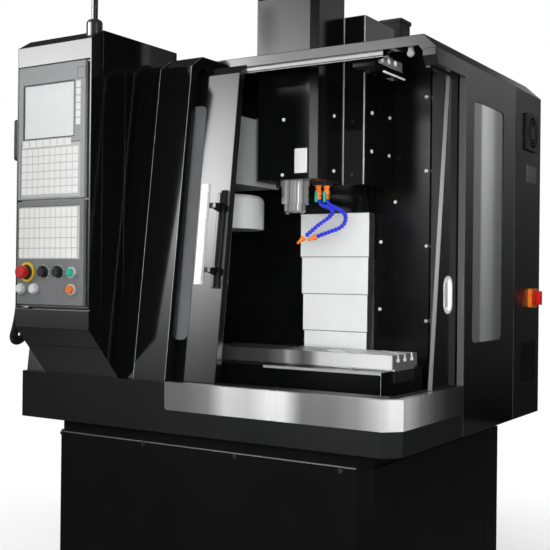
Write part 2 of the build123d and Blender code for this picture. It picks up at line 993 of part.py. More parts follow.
def saddle():
    centre = at_x(spindle_x)
    left = at_x(saddle_left)
    right = at_x(saddle_right)
    front = at_y(saddle_front)
    rear = at_y(saddle_rear)
    low = at_z(saddle_bottom)
    top = at_z(saddle_top)
    body = round_edges(block(left, right, front, rear, low, top), Axis.Z, saddle_corner)
    channel_floor = at_z(table_guide_bottom) - seat_gap
    body -= block(left - overrun, right + overrun, at_y(table_guide_front) - seat_gap,
                  at_y(table_guide_rear) + seat_gap, channel_floor, top + overrun)
    screw_y = at_y((table_guide_front + table_guide_rear) / 2)
    body -= block(left + saddle_end_wall, right - saddle_end_wall, screw_y - x_groove_half,
                  screw_y + x_groove_half,
                  at_z(x_groove_floor), channel_floor + overrun)
    body -= rod((left - overrun, screw_y, at_z(x_screw_z)), (1, 0, 0), screw_radius + running_gap,
                saddle_end_wall + 2 * overrun)
    for side in (-1, 1):
        inner = centre + side * (way_centre + way_width / 2 + seat_gap)
        outer = inner + side * keeper_width
        body += block(inner, outer, front, rear, low - keeper_drop + sheet, low)
    nut = block(centre - y_nut_half, centre + y_nut_half, at_y(y_nut_front), at_y(y_nut_front + nut_length),
                at_z(y_nut_bottom), low)
    nut -= rod((centre, at_y(y_nut_front) - overrun, at_z(y_screw_z)), (0, 1, 0),
               screw_radius + running_gap, nut_length + 2 * overrun)
    return body + nut


def table():
    left = at_x(table_left)
    right = at_x(table_right)
    top = at_z(table_top)
    middle = at_y((table_guide_front + table_guide_rear) / 2)
    body = block(left, right, at_y(table_front), at_y(table_rear), top - table_thickness, top)
    body += block(left, right, at_y(table_guide_front), at_y(table_guide_rear),
                  at_z(table_guide_bottom), top - table_thickness)
    for index in range(slot_count):
        y = middle + (index - (slot_count - 1) / 2) * slot_pitch
        body -= block(left - overrun, right + overrun, y - slot_width / 2, y + slot_width / 2,
                      top - slot_neck - sheet, top + overrun)
        body -= block(left - overrun, right + overrun, y - slot_tee_width / 2, y + slot_tee_width / 2,
                      top - slot_neck - slot_tee_height, top - slot_neck)
    nut_left = at_x(x_nut_left)
    nut = block(nut_left, nut_left + nut_length, middle - x_nut_half, middle + x_nut_half,
                at_z(x_nut_bottom), at_z(table_guide_bottom))
    nut -= rod((nut_left - overrun, middle, at_z(x_screw_z)), (1, 0, 0), screw_radius + running_gap,
               nut_length + 2 * overrun)
    return body + nut


def x_screw():
    middle = at_y((table_guide_front + table_guide_rear) / 2)
    start = at_x(saddle_left)
    end = at_x(saddle_right) - saddle_end_wall - seat_gap
    return rod((start, middle, at_z(x_screw_z)), (1, 0, 0), screw_radius, end - start)


def y_screw():
    start = at_y(bed_front)
    end = at_y(bed_rear) - bed_end_wall - seat_gap
    return rod((at_x(spindle_x), start, at_z(y_screw_z)), (0, 1, 0), screw_radius, end - start)


def servo_motor(size, length):
    body = round_edges(Pos(0, 0, length / 2) * Box(size, size, length), Axis.Z, motor_corner)
    waist = size - 2 * motor_step
    keep = round_edges(Pos(0, 0, length / 2 + motor_neck / 2) * Box(waist, waist,
                                                                    length - 2 * motor_neck), Axis.Z,
                                                                    motor_corner)
    ring = Pos(0, 0, length / 2 + motor_neck / 2) * Box(size + overrun, size + overrun,
                                                        length - 2 * motor_neck)
    return body - (ring - keep)


def x_motor():
    middle = at_y((table_guide_front + table_guide_rear) / 2)
    plane = Plane(origin=(at_x(saddle_left) - seat_gap, middle, at_z(x_screw_z)), z_dir=(-1, 0, 0))
    return plane.location * servo_motor(motor_size_x, motor_length_x)


def axis_motors():
    y_plane = Plane(origin=(at_x(spindle_x), at_y(bed_front) - seat_gap, at_z(y_screw_z)), z_dir=(0, -1, 0))
    y_motor = y_plane.location * servo_motor(motor_size_y, motor_length_y)
    z_x = at_x(belt_box_right) - z_motor_size / 2
    z_y = at_y(belt_box_rear) - z_motor_size / 2
    z_motor = Pos(z_x, z_y, at_z(column_height + belt_box_height)) * servo_motor(z_motor_size,
                                                                                 z_motor_height)
    return Compound(children=[y_motor, z_motor])


def column():
    centre = at_x(spindle_x)
    front = at_y(column_front)
    rear = at_y(column_rear)
    top = at_z(column_height)
    side = [(front, stand_height), (front, top), (rear - column_taper, top), (rear, stand_height)]
    body = prism_x(side, centre - column_half_width, centre + column_half_width)
    body -= block(centre - column_slot_half, centre + column_slot_half, front - overrun,
                  front + column_slot_depth,
                  at_z(column_slot_floor), top + overrun)
    for way_side in (-1, 1):
        middle = centre + way_side * z_way_centre
        body += block(middle - z_way_width / 2, middle + z_way_width / 2, front - z_way_height, front,
                      at_z(z_way_low), top)
    belt_box = block(centre - column_slot_half - belt_box_lap, at_x(belt_box_right),
                     at_y(belt_box_front), at_y(belt_box_rear),
                     top, top + belt_box_height)
    return body + belt_box


def z_screw():
    low = at_z(column_slot_floor) + seat_gap
    high = at_z(column_height) - seat_gap
    return rod((at_x(spindle_x), at_y(z_screw_y), low), (0, 0, 1), z_screw_radius, high - low)


def head_outline():
    left = at_x(spindle_x + head_half_width)
    right = at_x(spindle_x - head_half_width)
    front = at_y(head_front)
    rear = at_y(head_rear)
    return [
        (left, rear), (left, front + head_chamfer), (left + head_chamfer, front),
        (right - head_chamfer, front), (right, front + head_chamfer), (right, rear),
    ]


def head_cover():
    cover = prism_z(head_outline(), at_z(head_bottom), at_z(head_top))
    front_top = cover.edges().group_by(Axis.Z)[-1].filter_by(Axis.X).sort_by(Axis.Y)[0]
    cover = chamfer(front_top, head_top_bevel)
    bore = rod((at_x(spindle_x), at_y(spindle_y), at_z(head_bottom) - overrun), (0, 0, 1),
               nose_shaft_radius + fan_blade_gap, nose_shaft_length + 2 * overrun)
    return cover - bore


def head_casting():
    centre = at_x(spindle_x)
    body = block(at_x(body_left), at_x(body_right), at_y(head_rear), at_y(body_rear), at_z(body_bottom),
                 at_z(body_top))
    body = chamfer(body.edges().filter_by(Axis.Z).group_by(Axis.Y)[0], sheet)
    apron_top = at_z(body_bottom)
    apron_low = at_z(apron_bottom)
    half = apron_half_width
    apron = prism_y([(centre - half, apron_top), (centre + half - apron_taper, apron_top),
                     (centre + half, apron_low), (centre - half, apron_low)], at_y(apron_front),
                     at_y(body_rear))
    way_front_y = at_y(column_front) - z_way_height
    slide = block(centre - slide_half_width, centre + slide_half_width, at_y(body_rear),
                  way_front_y - seat_gap,
                  at_z(slide_bottom), at_z(slide_top))
    nut_front = way_front_y - seat_gap
    nut = block(centre - z_nut_half, centre + z_nut_half, nut_front, nut_front + z_nut_depth,
                at_z(z_nut_low), at_z(z_nut_low + z_nut_height))
    casting = body + apron + slide + nut
    return casting - rod((centre, at_y(z_screw_y), at_z(slide_bottom) - overrun), (0, 0, 1),
                         z_screw_radius + running_gap, slide_top - slide_bottom + 2 * overrun)


def spindle_cartridge():
    centre = (at_x(spindle_x), at_y(spindle_y))
    top = at_z(head_bottom)
    low = at_z(cartridge_bottom)
    body = rod((*centre, low), (0, 0, 1), cartridge_radius, top - low)
    body += rod((*centre, top - cartridge_flange_height), (0, 0, 1), cartridge_flange_radius,
                cartridge_flange_height)
    for place in cartridge_groove_places:
        ring = rod((*centre, at_z(place)), (0, 0, 1), cartridge_flange_radius, cartridge_groove)
        body -= ring - rod((*centre, at_z(place)), (0, 0, 1), cartridge_radius - cartridge_groove,
                           cartridge_groove)
    return body - rod((*centre, low - overrun), (0, 0, 1), nose_shaft_radius + running_gap,
                      top - low + 2 * overrun)


def spindle_nose():
    low = at_z(nose_bottom)
    shoulder = at_z(cartridge_bottom) - seat_gap
    shaft_top = at_z(head_bottom) + nose_shaft_length
    profile = Polyline(
        (taper_mouth_radius, low), (nose_radius - nose_rim, low), (nose_radius, low + nose_rim),
        (nose_radius, shoulder),
        (nose_shaft_radius, shoulder), (nose_shaft_radius, shaft_top), (0, shaft_top),
        (0, low + taper_depth),
        (taper_top_radius, low + taper_depth), close=True)
    section = make_face(Plane.XZ * profile)
    nose = revolve(section, Axis.Z)
    for side in (-1, 1):
        middle = side * (taper_mouth_radius + nose_radius) / 2
        half = (nose_radius - taper_mouth_radius) / 2
        nose += block(middle - half + nose_rim / 2, middle + half - nose_rim, -drive_key_width / 2,
                      drive_key_width / 2,
                      low - drive_key_depth, low + drive_key_height)
    return Pos(at_x(spindle_x), at_y(spindle_y), 0) * nose


def cover_section(index, low, high, lip):
    half = cover_half_width - index * cover_step
    front = at_y(cover_front + index * cover_step)
    centre = at_x(cover_x)
    rear = at_y(cover_rear)
    path = [(centre - half, rear), (centre - half, front), (centre + half, front), (centre + half, rear)]
    section = prism_z(strip(path, -cover_plate, 0), low, high)
    if lip:
        inner = cover_step - seat_gap
        section += prism_z(strip(path, -inner, 0), low, low + cover_lip_height)
    return section


def z_cover_top():
    return cover_section(0, at_z(cover_bottoms[0]), at_z(apron_bottom), True)


def z_cover_upper():
    return cover_section(1, at_z(cover_bottoms[1]), at_z(cover_bottoms[0] + cover_overlap), True)


def z_cover_lower():
    return cover_section(2, at_z(cover_bottoms[2]), at_z(cover_bottoms[1] + cover_overlap), True)


def z_cover_base():
    return cover_section(3, at_z(bed_height), at_z(cover_bottoms[2] + cover_overlap), False)


def coolant_manifold():
    lefts = [place[0] for place in valve_places]
    fronts = [place[1] for place in valve_places]
    margin = valve_plate_margin
    top = at_z(head_bottom)
    plate = block(at_x(max(lefts)) - margin, at_x(min(lefts)) + margin, at_y(min(fronts)) - margin,
                  at_y(max(fronts)) + margin, top - valve_plate_height, top)
    manifold = plate
    for x, y in valve_places:
        manifold += rod((at_x(x), at_y(y), top - valve_plate_height - valve_body_height), (0, 0, 1),
                        valve_body_radius, valve_body_height)
        stem_z = top - valve_plate_height - valve_body_height / 2
        manifold += rod((at_x(x), at_y(y), stem_z), (0, -1, 0), valve_stem_radius,
                        valve_body_radius + valve_stem_length)
    return manifold


def valve_lever(x, y):
    z = at_z(head_bottom) - valve_plate_height - valve_body_height / 2
    face = at_y(y) - valve_body_radius - valve_stem_length - seat_gap
    half = lever_width / 2
    lever = block(at_x(x) - half, at_x(x) + half, face - lever_thickness, face, z - lever_length, z + half)
    return round_edges(lever, Axis.Y, half - seat_gap)


def hose(route):
    points = [Vector(at_x(x), at_y(y), at_z(z)) for x, y, z in route]
    turns = [(b - a).get_angle(c - b) for a, b, c in zip(points, points[1:], points[2:])]
    lengths = [(b - a).length for a, b in zip(points, points[1:])]
    radii = []
    for index, turn in enumerate(turns):
        shorter = min(lengths[index], lengths[index + 1])
        radii.append(cord_radius_share * shorter / math.tan(math.radians(turn / 2)))
    path = FilletPolyline(*points, radius=radii)
    start = Plane(origin=points[0], z_dir=points[1] - points[0])
    tube = sweep(start * Circle(hose_radius), path=path)
    tip = Plane(origin=points[-1], z_dir=points[-1] - points[-2])
    nozzle = loft([tip * Circle(hose_radius), tip.offset(hose_nozzle_length) * Circle(hose_nozzle_radius)])
    return tube + nozzle


def coolant_hoses():
    return coolant_manifold() + [hose(route) for route in hose_routes]


def magazine_cover():
    left = at_x(magazine_left)
    right = at_x(magazine_right)
    front = at_y(magazine_front)
    rear = at_y(magazine_rear)
    low = at_z(magazine_bottom)
    top = at_z(magazine_top)
    cover = block(left, right, front, rear, low, top)
    cover += block(right, right + magazine_lip, front, rear, low, low + sheet)
    cover += block(at_x(magazine_arm_left), at_x(magazine_arm_right), rear, at_y(back_wall_y),
                   at_z(magazine_arm_low), at_z(magazine_arm_high))
    start = (at_x(drum_x), at_y(drum_y), low - overrun)
    return cover - rod(start, (0, 0, 1), drum_shaft_radius + running_gap, drum_bearing_height + overrun)


def tool_drum():
    centre = (at_x(drum_x), at_y(drum_y))
    low = at_z(drum_bottom)
    top = at_z(drum_top)
    drum = rod((*centre, low), (0, 0, 1), drum_radius, top - low)
    drum = fillet(drum.edges().group_by(Axis.Z)[-1], drum_fillet)
    shaft_top = at_z(magazine_bottom) + drum_bearing_height - seat_gap
    return drum + rod((*centre, top), (0, 0, 1), drum_shaft_radius, shaft_top - top)


def work_light():
    front = at_y(light_front)
    rear = at_y(light_rear)
    low = at_z(light_low)
    high = at_z(light_high)
    body = block(at_x(light_left), at_x(light_right), front, rear, low, high)
    middle = at_x((light_left + light_right) / 2)
    arm_y = (front + rear) / 2
    arm = block(middle - light_arm / 2, middle + light_arm / 2, arm_y - light_arm / 2,
                arm_y + light_arm / 2, high, z_roof - sheet)
    return body + arm


def wedge_z(y):
    fall = (cabinet_chin - skirt_height) / cabinet_front
    return z_sill - y * fall


def control_frame():
    front = at_y(-cabinet_front)
    rear = at_y(frame_depth - cabinet_front)
    outline = [(front, at_z(cabinet_chin)), (front, at_z(cabinet_shoulder)), (rear, at_z(cabinet_top)),
               (rear, wedge_z(frame_depth - cabinet_front))]
    frame = prism_x(outline, at_x(cabinet_left), at_x(cabinet_right))
    frame -= block(at_x(recess_left), at_x(recess_right), front - overrun, front + panel_thickness,
                   at_z(recess_low), at_z(recess_high))
    frame -= block(at_x(panel_left - pocket_margin), at_x(panel_right + pocket_margin), front,
                   front + recess_depth,
                   at_z(operator_low + pocket_margin), at_z(pocket_high))
    frame -= block(at_x(cabinet_left) - overrun, at_x(cabinet_right) + overrun, front - overrun,
                   front + chin_seam_width,
                   at_z(chin_seam) - chin_seam_width, at_z(chin_seam))
    return frame


def control_cabinet():
    front = at_y(frame_depth - cabinet_front)
    shell = offset_path(front_path(), shell_setback)
    outline = [(front, wedge_z(frame_depth - cabinet_front)), (front, at_z(cabinet_top)),
               (at_y(cabinet_rear), at_z(cabinet_top)),
               (at_y(cabinet_rear), z_roof), (at_y(beam_front), z_roof)] + shell[::-1] + [(y_front, z_sill)]
    body = prism_x(outline, at_x(cabinet_left), at_x(cabinet_right))
    seam_y = at_y(side_seam_y)
    for face, side in ((at_x(cabinet_left), -1), (at_x(cabinet_right), 1)):
        body -= block(face - side * side_seam_depth, face + side * overrun, seam_y,
                      seam_y + side_seam_width,
                      at_z(side_seam_low), at_z(side_seam_high))
    return body


def key_grid(left, right, low, high, columns, rows):
    front = at_y(-cabinet_front)
    width = (left - right) / columns
    height = (high - low) / rows
    keys = []
    for column_index in range(columns):
        for row in range(rows):
            x0 = at_x(left) + column_index * width + key_gap / 2
            z0 = at_z(low) + row * height + key_gap / 2
            keys.append(block(x0, x0 + width - key_gap, front - key_rise, front, z0, z0 + height - key_gap))
    return keys


def display_bezel():
    front = at_y(-cabinet_front)
    plate = block(at_x(panel_left), at_x(panel_right), front, front + panel_thickness, at_z(bezel_low),
                  at_z(bezel_high))
    plate = round_edges(plate, Axis.Y, panel_corner)
    plate -= block(at_x(screen_left), at_x(screen_right), front - overrun,
                   front + panel_thickness + overrun,
                   at_z(screen_low), at_z(screen_high))
    keys = key_grid(pad_left, pad_right, pad_low, pad_high, pad_columns, pad_rows)
    keys += key_grid(soft_left, soft_right, soft_low, soft_high, soft_columns, 1)
    keys += key_grid(side_key_left, side_key_right, side_key_low, side_key_high, 1, side_key_rows)
    return plate + keys


def display_screen():
    front = at_y(-cabinet_front)
    return block(at_x(screen_left), at_x(screen_right), front + screen_recess, front + panel_thickness,
                 at_z(screen_low), at_z(screen_high))


def control_places():
    places = [(estop_x, upper_row, estop_stem_radius), (start_x, upper_row, button_guide_radius),
              (start_x, lower_row, button_guide_radius)]
    places += [(x, upper_row, button_guide_radius) for x in knob_places]
    places += [(x, lower_row, button_guide_radius) for x in power_places]
    return places


def operator_panel():
    front = at_y(-cabinet_front)
    plate = block(at_x(panel_left), at_x(panel_right), front, front + panel_thickness,
                  at_z(operator_low), at_z(operator_high))
    plate = round_edges(plate, Axis.Y, panel_corner)
    collars = [(estop_x, upper_row, estop_collar_radius, estop_collar_height)]
    for x, z in [(start_x, upper_row), (start_x, lower_row)] + [(x, lower_row) for x in power_places]:
        collars.append((x, z, button_collar_radius, button_collar_height))
    for x, z, radius, height in collars:
        plate += rod((at_x(x), front, at_z(z)), (0, -1, 0), radius, height)
    for x, z, radius, height in collars[1:]:
        plate -= rod((at_x(x), front, at_z(z)), (0, -1, 0), button_radius + control_gap, height)
    for x, z, radius in control_places():
        plate -= rod((at_x(x), front + panel_thickness + overrun, at_z(z)), (0, -1, 0),
                     radius + running_gap,
                     panel_thickness + 2 * overrun + estop_collar_height)
    return plate + key_grid(operator_pad_left, operator_pad_right, operator_pad_low, operator_pad_high,
                            operator_columns, operator_rows)


def push_button(x, z):
    front = at_y(-cabinet_front)
    head_start = front - estop_collar_height
    cap = rod((at_x(x), head_start, at_z(z)), (0, -1, 0), button_radius, button_reach - estop_collar_height)
    cap = fillet(cap.edges().group_by(Axis.Y)[0], button_fillet)
    return cap + rod((at_x(x), front + guide_depth, at_z(z)), (0, -1, 0), button_guide_radius,
                     guide_depth + estop_collar_height)


def estop_button():
    front = at_y(-cabinet_front)
    head = rod((at_x(estop_x), front - estop_reach + estop_head, at_z(upper_row)), (0, -1, 0),
               estop_radius, estop_head)
    head = fillet(head.edges().group_by(Axis.Y)[0], estop_head * estop_round_share)
    stem = rod((at_x(estop_x), front + guide_depth, at_z(upper_row)), (0, -1, 0), estop_stem_radius,
               guide_depth + estop_reach - estop_head)
    return head + stem


def rotary_knob(x):
    front = at_y(-cabinet_front) - control_gap
    z = at_z(upper_row)
    skirt = rod((at_x(x), front, z), (0, -1, 0), knob_skirt_radius, knob_skirt_height)
    body = rod((at_x(x), front, z), (0, -1, 0), knob_radius, knob_height)
    body = fillet(body.edges().group_by(Axis.Y)[0], button_fillet)
    pointer = block(at_x(x) - knob_pointer_width / 2, at_x(x) + knob_pointer_width / 2,
                    front - knob_height, front,
                    z, z + knob_skirt_radius + button_fillet)
    shaft = rod((at_x(x), front + control_gap + guide_depth, z), (0, -1, 0), button_guide_radius,
                guide_depth + control_gap)
    return skirt + body + pointer + shaft


def signal_tower():
    x = at_x(tower_x)
    y = at_y(-tower_y)
    foot = at_z(cabinet_top)
    base = rod((x, y, foot), (0, 0, 1), tower_base_radius, tower_base_height)
    base = fillet(base.edges().group_by(Axis.Z)[-1], tower_base_dome)
    wedge_front = at_y(-cabinet_front)
    wedge_rear = at_y(frame_depth - cabinet_front)
    under = prism_x([(wedge_front, at_z(cabinet_shoulder)), (wedge_rear, at_z(cabinet_top)),
                     (wedge_front, at_z(cabinet_top))],
                    x - tower_base_radius, x + tower_base_radius)
    foot_rod = rod((x, y, at_z(cabinet_shoulder)), (0, 0, 1), tower_base_radius,
                   cabinet_top - cabinet_shoulder)
    tower = base + (foot_rod & under)
    pole_top = foot + tower_base_height + tower_pole_height
    tower += rod((x, y, foot), (0, 0, 1), tower_pole_radius, pole_top - foot)
    for index in range(lamp_count):
        low = pole_top + index * lamp_height
        tower += rod((x, y, low), (0, 0, 1), lamp_radius, lamp_height - lamp_groove)
        tower += rod((x, y, low), (0, 0, 1), lamp_radius - lamp_groove, lamp_height)
    return tower


def pendant_body():
    right = at_x(cabinet_left)
    body = block(right - pendant_thickness, right, at_y(-pendant_front), at_y(-pendant_rear),
                 at_z(pendant_low), at_z(pendant_high))
    body = fillet(body.edges().filter_by(Axis.X), pendant_corner)
    wheel_y = at_y(-(pendant_front + pendant_rear) / 2)
    face = right - pendant_thickness
    return body - rod((face + guide_depth, wheel_y, at_z(wheel_z)), (-1, 0, 0),
                      wheel_crank_radius + running_gap, guide_depth + overrun)


def pendant_wheel():
    face = at_x(cabinet_left) - pendant_thickness - control_gap
    wheel_y = at_y(-(pendant_front + pendant_rear) / 2)
    z = at_z(wheel_z)
    wheel = rod((face, wheel_y, z), (-1, 0, 0), wheel_radius, wheel_thickness)
    wheel = fillet(wheel.edges().group_by(Axis.X)[0], button_fillet)
    wheel += rod((face - wheel_thickness, wheel_y, z + wheel_radius * wheel_crank_share), (-1, 0, 0),
                 wheel_crank_radius, wheel_crank_height)
    return wheel + rod((face + guide_depth / 2, wheel_y, z), (-1, 0, 0), wheel_crank_radius,
                       guide_depth / 2)


def pendant_cord():
    points = [Vector(at_x(x), at_y(y), at_z(z)) for x, y, z in cord_route]
    lengths = [(b - a).length for a, b in zip(points, points[1:])]
    turns = [(b - a).get_angle(c - b) for a, b, c in zip(points, points[1:], points[2:])]
    radii = []
    for index, turn in enumerate(turns):
        shorter = min(lengths[index], lengths[index + 1])
        radii.append(cord_radius_share * shorter / math.tan(math.radians(turn / 2)))
    path = FilletPolyline(*points, radius=radii)
    print("cord bend radii", [round(radius) for radius in radii])
    start = Plane(origin=points[0], z_dir=points[1] - points[0])
    tube = sweep(start * Circle(cord_radius), path=path)
    expected = math.pi * cord_radius ** 2 * path.length
    print("cord length", round(path.length), "volume share", round(tube.volume / expected, 4))
    return tube


def cord_gland():
    low = at_z(gland_low)
    high = at_z(gland_high)
    shell = offset_path([(lean_y(low), low), (lean_y(high), high)], shell_setback)
    front = at_y(gland_front)
    bracket = prism_x([(front, low), (front, high), shell[1], shell[0]], at_x(gland_left),
                      at_x(gland_right))
    end = cord_route[-1]
    nut_low = at_z(end[2])
    return bracket + rod((at_x(end[0]), at_y(end[1]), nut_low), (0, 0, 1), gland_nut_radius, low - nut_low)


nodes = {
    "base_cabinet": base_cabinet,
    "base_front_cover": base_front_cover,
    "chip_pan": chip_pan,
    "sill_trim": sill_trim,
    "front_cheek_panel": front_cheek_panel,
    "enclosure_shell": enclosure_shell,
    "back_wall": back_wall,
    "roof_hood": roof_hood,
    "right_side_panel": right_side_panel,
    "side_window": side_window,
    "rear_side_panel": rear_side_panel,
    "fan_guard": fan_guard,
    "fan_rotor": fan_rotor,
    "switch_plate": switch_plate,
    "main_switch_handle": main_switch_handle,
    "front_door": front_door,
    "front_door_window": front_door_window,
    "handle_bar": handle_bar,
    "side_door": side_door,
    "side_door_pull": side_door_pull,
    "bed_casting": bed_casting,
    "saddle": saddle,
    "table": table,
    "x_screw": x_screw,
    "y_screw": y_screw,
    "z_screw": z_screw,
    "x_motor": x_motor,
    "axis_motors": axis_motors,
    "column": column,
    "head_cover": head_cover,
    "head_casting": head_casting,
    "spindle_cartridge": spindle_cartridge,
    "spindle_nose": spindle_nose,
    "z_cover_top": z_cover_top,
    "z_cover_upper": z_cover_upper,
    "z_cover_lower": z_cover_lower,
    "z_cover_base": z_cover_base,
    "coolant_lever_left": lambda: valve_lever(*valve_places[0]),
    "coolant_lever_right": lambda: valve_lever(*valve_places[1]),
    "coolant_hoses": coolant_hoses,
    "magazine_cover": magazine_cover,
    "tool_drum": tool_drum,
    "work_light": work_light,
    "control_frame": control_frame,
    "control_cabinet": control_cabinet,
    "display_bezel": display_bezel,
    "display_screen": display_screen,
    "operator_panel": operator_panel,
    "estop_button": estop_button,
    "feed_knob": lambda: rotary_knob(knob_places[0]),
    "speed_knob": lambda: rotary_knob(knob_places[1]),
    "start_button": lambda: push_button(start_x, upper_row),
    "hold_button": lambda: push_button(start_x, lower_row),
    "power_on_button": lambda: push_button(power_places[0], lower_row),
    "power_off_button": lambda: push_button(power_places[1], lower_row),
    "signal_tower": signal_tower,
    "pendant_body": pendant_body,
    "pendant_wheel": pendant_wheel,
    "pendant_cord": pendant_cord,
    "cord_gland": cord_gland,
}

os.makedirs("parts", exist_ok=True)
for name, make in nodes.items():
    export_step(make(), f"parts/{name}.step")
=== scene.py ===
import math
import bpy
import bmesh
from mathutils import Matrix, Vector


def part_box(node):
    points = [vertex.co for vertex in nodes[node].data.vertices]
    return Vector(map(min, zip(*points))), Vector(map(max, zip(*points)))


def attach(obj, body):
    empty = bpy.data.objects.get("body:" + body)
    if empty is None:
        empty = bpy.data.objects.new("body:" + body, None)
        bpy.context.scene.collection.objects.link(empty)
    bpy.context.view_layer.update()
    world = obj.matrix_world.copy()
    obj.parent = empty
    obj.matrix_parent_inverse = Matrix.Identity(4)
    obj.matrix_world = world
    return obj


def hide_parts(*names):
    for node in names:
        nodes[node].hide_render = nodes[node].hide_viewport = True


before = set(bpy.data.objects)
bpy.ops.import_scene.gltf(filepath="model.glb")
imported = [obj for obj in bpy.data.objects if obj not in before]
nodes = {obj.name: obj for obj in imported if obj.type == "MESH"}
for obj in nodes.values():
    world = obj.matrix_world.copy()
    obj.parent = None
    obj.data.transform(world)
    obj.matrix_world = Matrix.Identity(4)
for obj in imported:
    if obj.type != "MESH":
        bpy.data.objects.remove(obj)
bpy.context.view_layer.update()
scene = bpy.context.scene
scene.view_settings.view_transform = "Standard"
print("frame loaded,", len(nodes), "solids")

# places are given in mm from the machine's right side, skirt front and skirt foot, which lie here in metres
measureFrom = {"right": 0.685, "front": -0.541, "foot": 0.64}


def spot(leftward, back, up):
    return Vector((measureFrom["right"] - leftward / 1000, measureFrom["front"] + back / 1000,
                   measureFrom["foot"] + up / 1000))


def addObject(name, data):
    made = bpy.data.objects.new(name, data)
    scene.collection.objects.link(made)
    return made


# camera at the photograph's angle, for a square picture
cameraView = {"place": (1.78415, -2.8561, 1.11406), "turn": 32.515, "tilt": 90.143, "roll": 0.624,
              "lens": 64.37, "sensor": 36.0, "shiftDown": 1.5 / 550}


def setCamera(view):
    data = bpy.data.cameras.new("camera")
    data.sensor_width = view["sensor"]
    data.lens = view["lens"]
    data.shift_y = -view["shiftDown"]
    camera = addObject("camera", data)
    turn = Matrix.Rotation(math.radians(view["turn"]), 4, "Z")
    tilt = Matrix.Rotation(math.radians(view["tilt"]), 4, "X")
    roll = Matrix.Rotation(math.radians(view["roll"]), 4, "Z")
    camera.matrix_world = Matrix.Translation(view["place"]) @ turn @ tilt @ roll
    scene.camera = camera


setCamera(cameraView)


def setSockets(node, values):
    for key, value in values.items():
        if isinstance(value, bpy.types.NodeSocket):
            node.id_data.links.new(value, node.inputs[key])
        else:
            node.inputs[key].default_value = value


def addNode(tree, kind, settings=None, sockets=None):
    node = tree.nodes.new(tree.bl_idname.replace("Tree", kind))  # a ShaderNodeTree gets a ShaderNode
    for key, value in (settings or {}).items():
        setattr(node, key, value)
    setSockets(node, sockets or {})
    return node


def math2(tree, operation, first, second):
    return addNode(tree, "Math", {"operation": operation}, {0: first, 1: second}).outputs[0]


def times(tree, first, second):
    return math2(tree, "MULTIPLY", first, second)


def ranged(tree, value, low, high, toLow=0.0, toHigh=1.0, smooth=False):
    settings = {"clamp": True, "interpolation_type": "SMOOTHSTEP" if smooth else "LINEAR"}
    sockets = {"Value": value, "From Min": low, "From Max": high, "To Min": toLow, "To Max": toHigh}
    return addNode(tree, "MapRange", settings, sockets).outputs[0]


def mixColour(tree, mask, first, second):
    sockets = {0: mask, 6: first, 7: second}
    for key in (6, 7):
        if isinstance(sockets[key], tuple):
            sockets[key] = (*sockets[key], 1.0)
    return addNode(tree, "Mix", {"data_type": "RGBA"}, sockets).outputs[2]


def greyRamp(tree, value, stops):
    low, high = stops[0][0], stops[-1][0]
    ramp = addNode(tree, "ValToRGB", sockets={0: ranged(tree, value, low, high)})
    steps = ramp.color_ramp.elements
    for index, (place, grey) in enumerate(stops):
        position = (place - low) / (high - low)
        step = steps[0] if index == 0 else steps[-1] if index == len(stops) - 1 else steps.new(position)
        step.position = position
        step.color = (grey, grey, grey, 1.0)
    return ramp.outputs["Color"]


def between(tree, value, low, high):
    above = math2(tree, "GREATER_THAN", value, low)
    return times(tree, above, math2(tree, "LESS_THAN", value, high))


def axesOf(tree, place):
    return addNode(tree, "SeparateXYZ", sockets={0: place}).outputs


def distanceAlong(tree, place, direction):
    sockets = {0: place, 1: direction}
    return addNode(tree, "VectorMath", {"operation": "DOT_PRODUCT"}, sockets).outputs["Value"]


# shared surface effects, each a group that gives masks and heights
noiseReach = {"cloud": (0.3, 0.7), "band": (0.32, 0.68)}


def newGroup(name, numbers, outputs):
    group = bpy.data.node_groups.new(name, "ShaderNodeTree")
    group.interface.new_socket("Place", in_out="INPUT", socket_type="NodeSocketVector")
    for key, value in numbers.items():
        socket = group.interface.new_socket(key, in_out="INPUT", socket_type="NodeSocketFloat")
        socket.default_value = value
    for key in outputs:
        group.interface.new_socket(key, in_out="OUTPUT", socket_type="NodeSocketFloat")
    return group, group.nodes.new("NodeGroupInput").outputs, group.nodes.new("NodeGroupOutput")


def sprayedCoat():
    group, source, result = newGroup("sprayedCoat", {"Peel Scale": 320.0, "Cloud Scale": 5.0},
                                     ("Height", "Cloud"))
    peel = addNode(group, "TexNoise", sockets={
        "Vector": source["Place"], "Scale": source["Peel Scale"], "Detail": 1.5, "Roughness": 0.45})
    cloud = addNode(group, "TexNoise", sockets={
        "Vector": source["Place"], "Scale": source["Cloud Scale"], "Detail": 4.0, "Roughness": 0.6})
    setSockets(result, {"Height": peel.outputs["Fac"],
                        "Cloud": ranged(group, cloud.outputs["Fac"], *noiseReach["cloud"])})
    return group


def brushedSheet():
    group, source, result = newGroup("brushedSheet", {"Across": 900.0, "Along": 6.0, "Band Scale": 6.0},
                                     ("Height", "Streak", "Band"))
    axes = axesOf(group, source["Place"])
    flat = math2(group, "ADD", axes["X"], axes["Y"])
    stretched = addNode(group, "CombineXYZ", sockets={
        "X": times(group, flat, source["Along"]),
        "Z": times(group, axes["Z"], source["Across"])})
    streak = addNode(group, "TexNoise", sockets={
        "Vector": stretched.outputs[0], "Scale": 1.0, "Detail": 3.0, "Roughness": 0.6}).outputs["Fac"]
    upright = addNode(group, "CombineXYZ", sockets={"X": flat}).outputs[0]
    band = addNode(group, "TexNoise", sockets={
        "Vector": upright, "Scale": source["Band Scale"], "Detail": 2.0, "Roughness": 0.5}).outputs["Fac"]
    setSockets(result, {"Height": streak, "Streak": ranged(group, streak, *noiseReach["cloud"]),
                        "Band": ranged(group, band, *noiseReach["band"])})
    return group


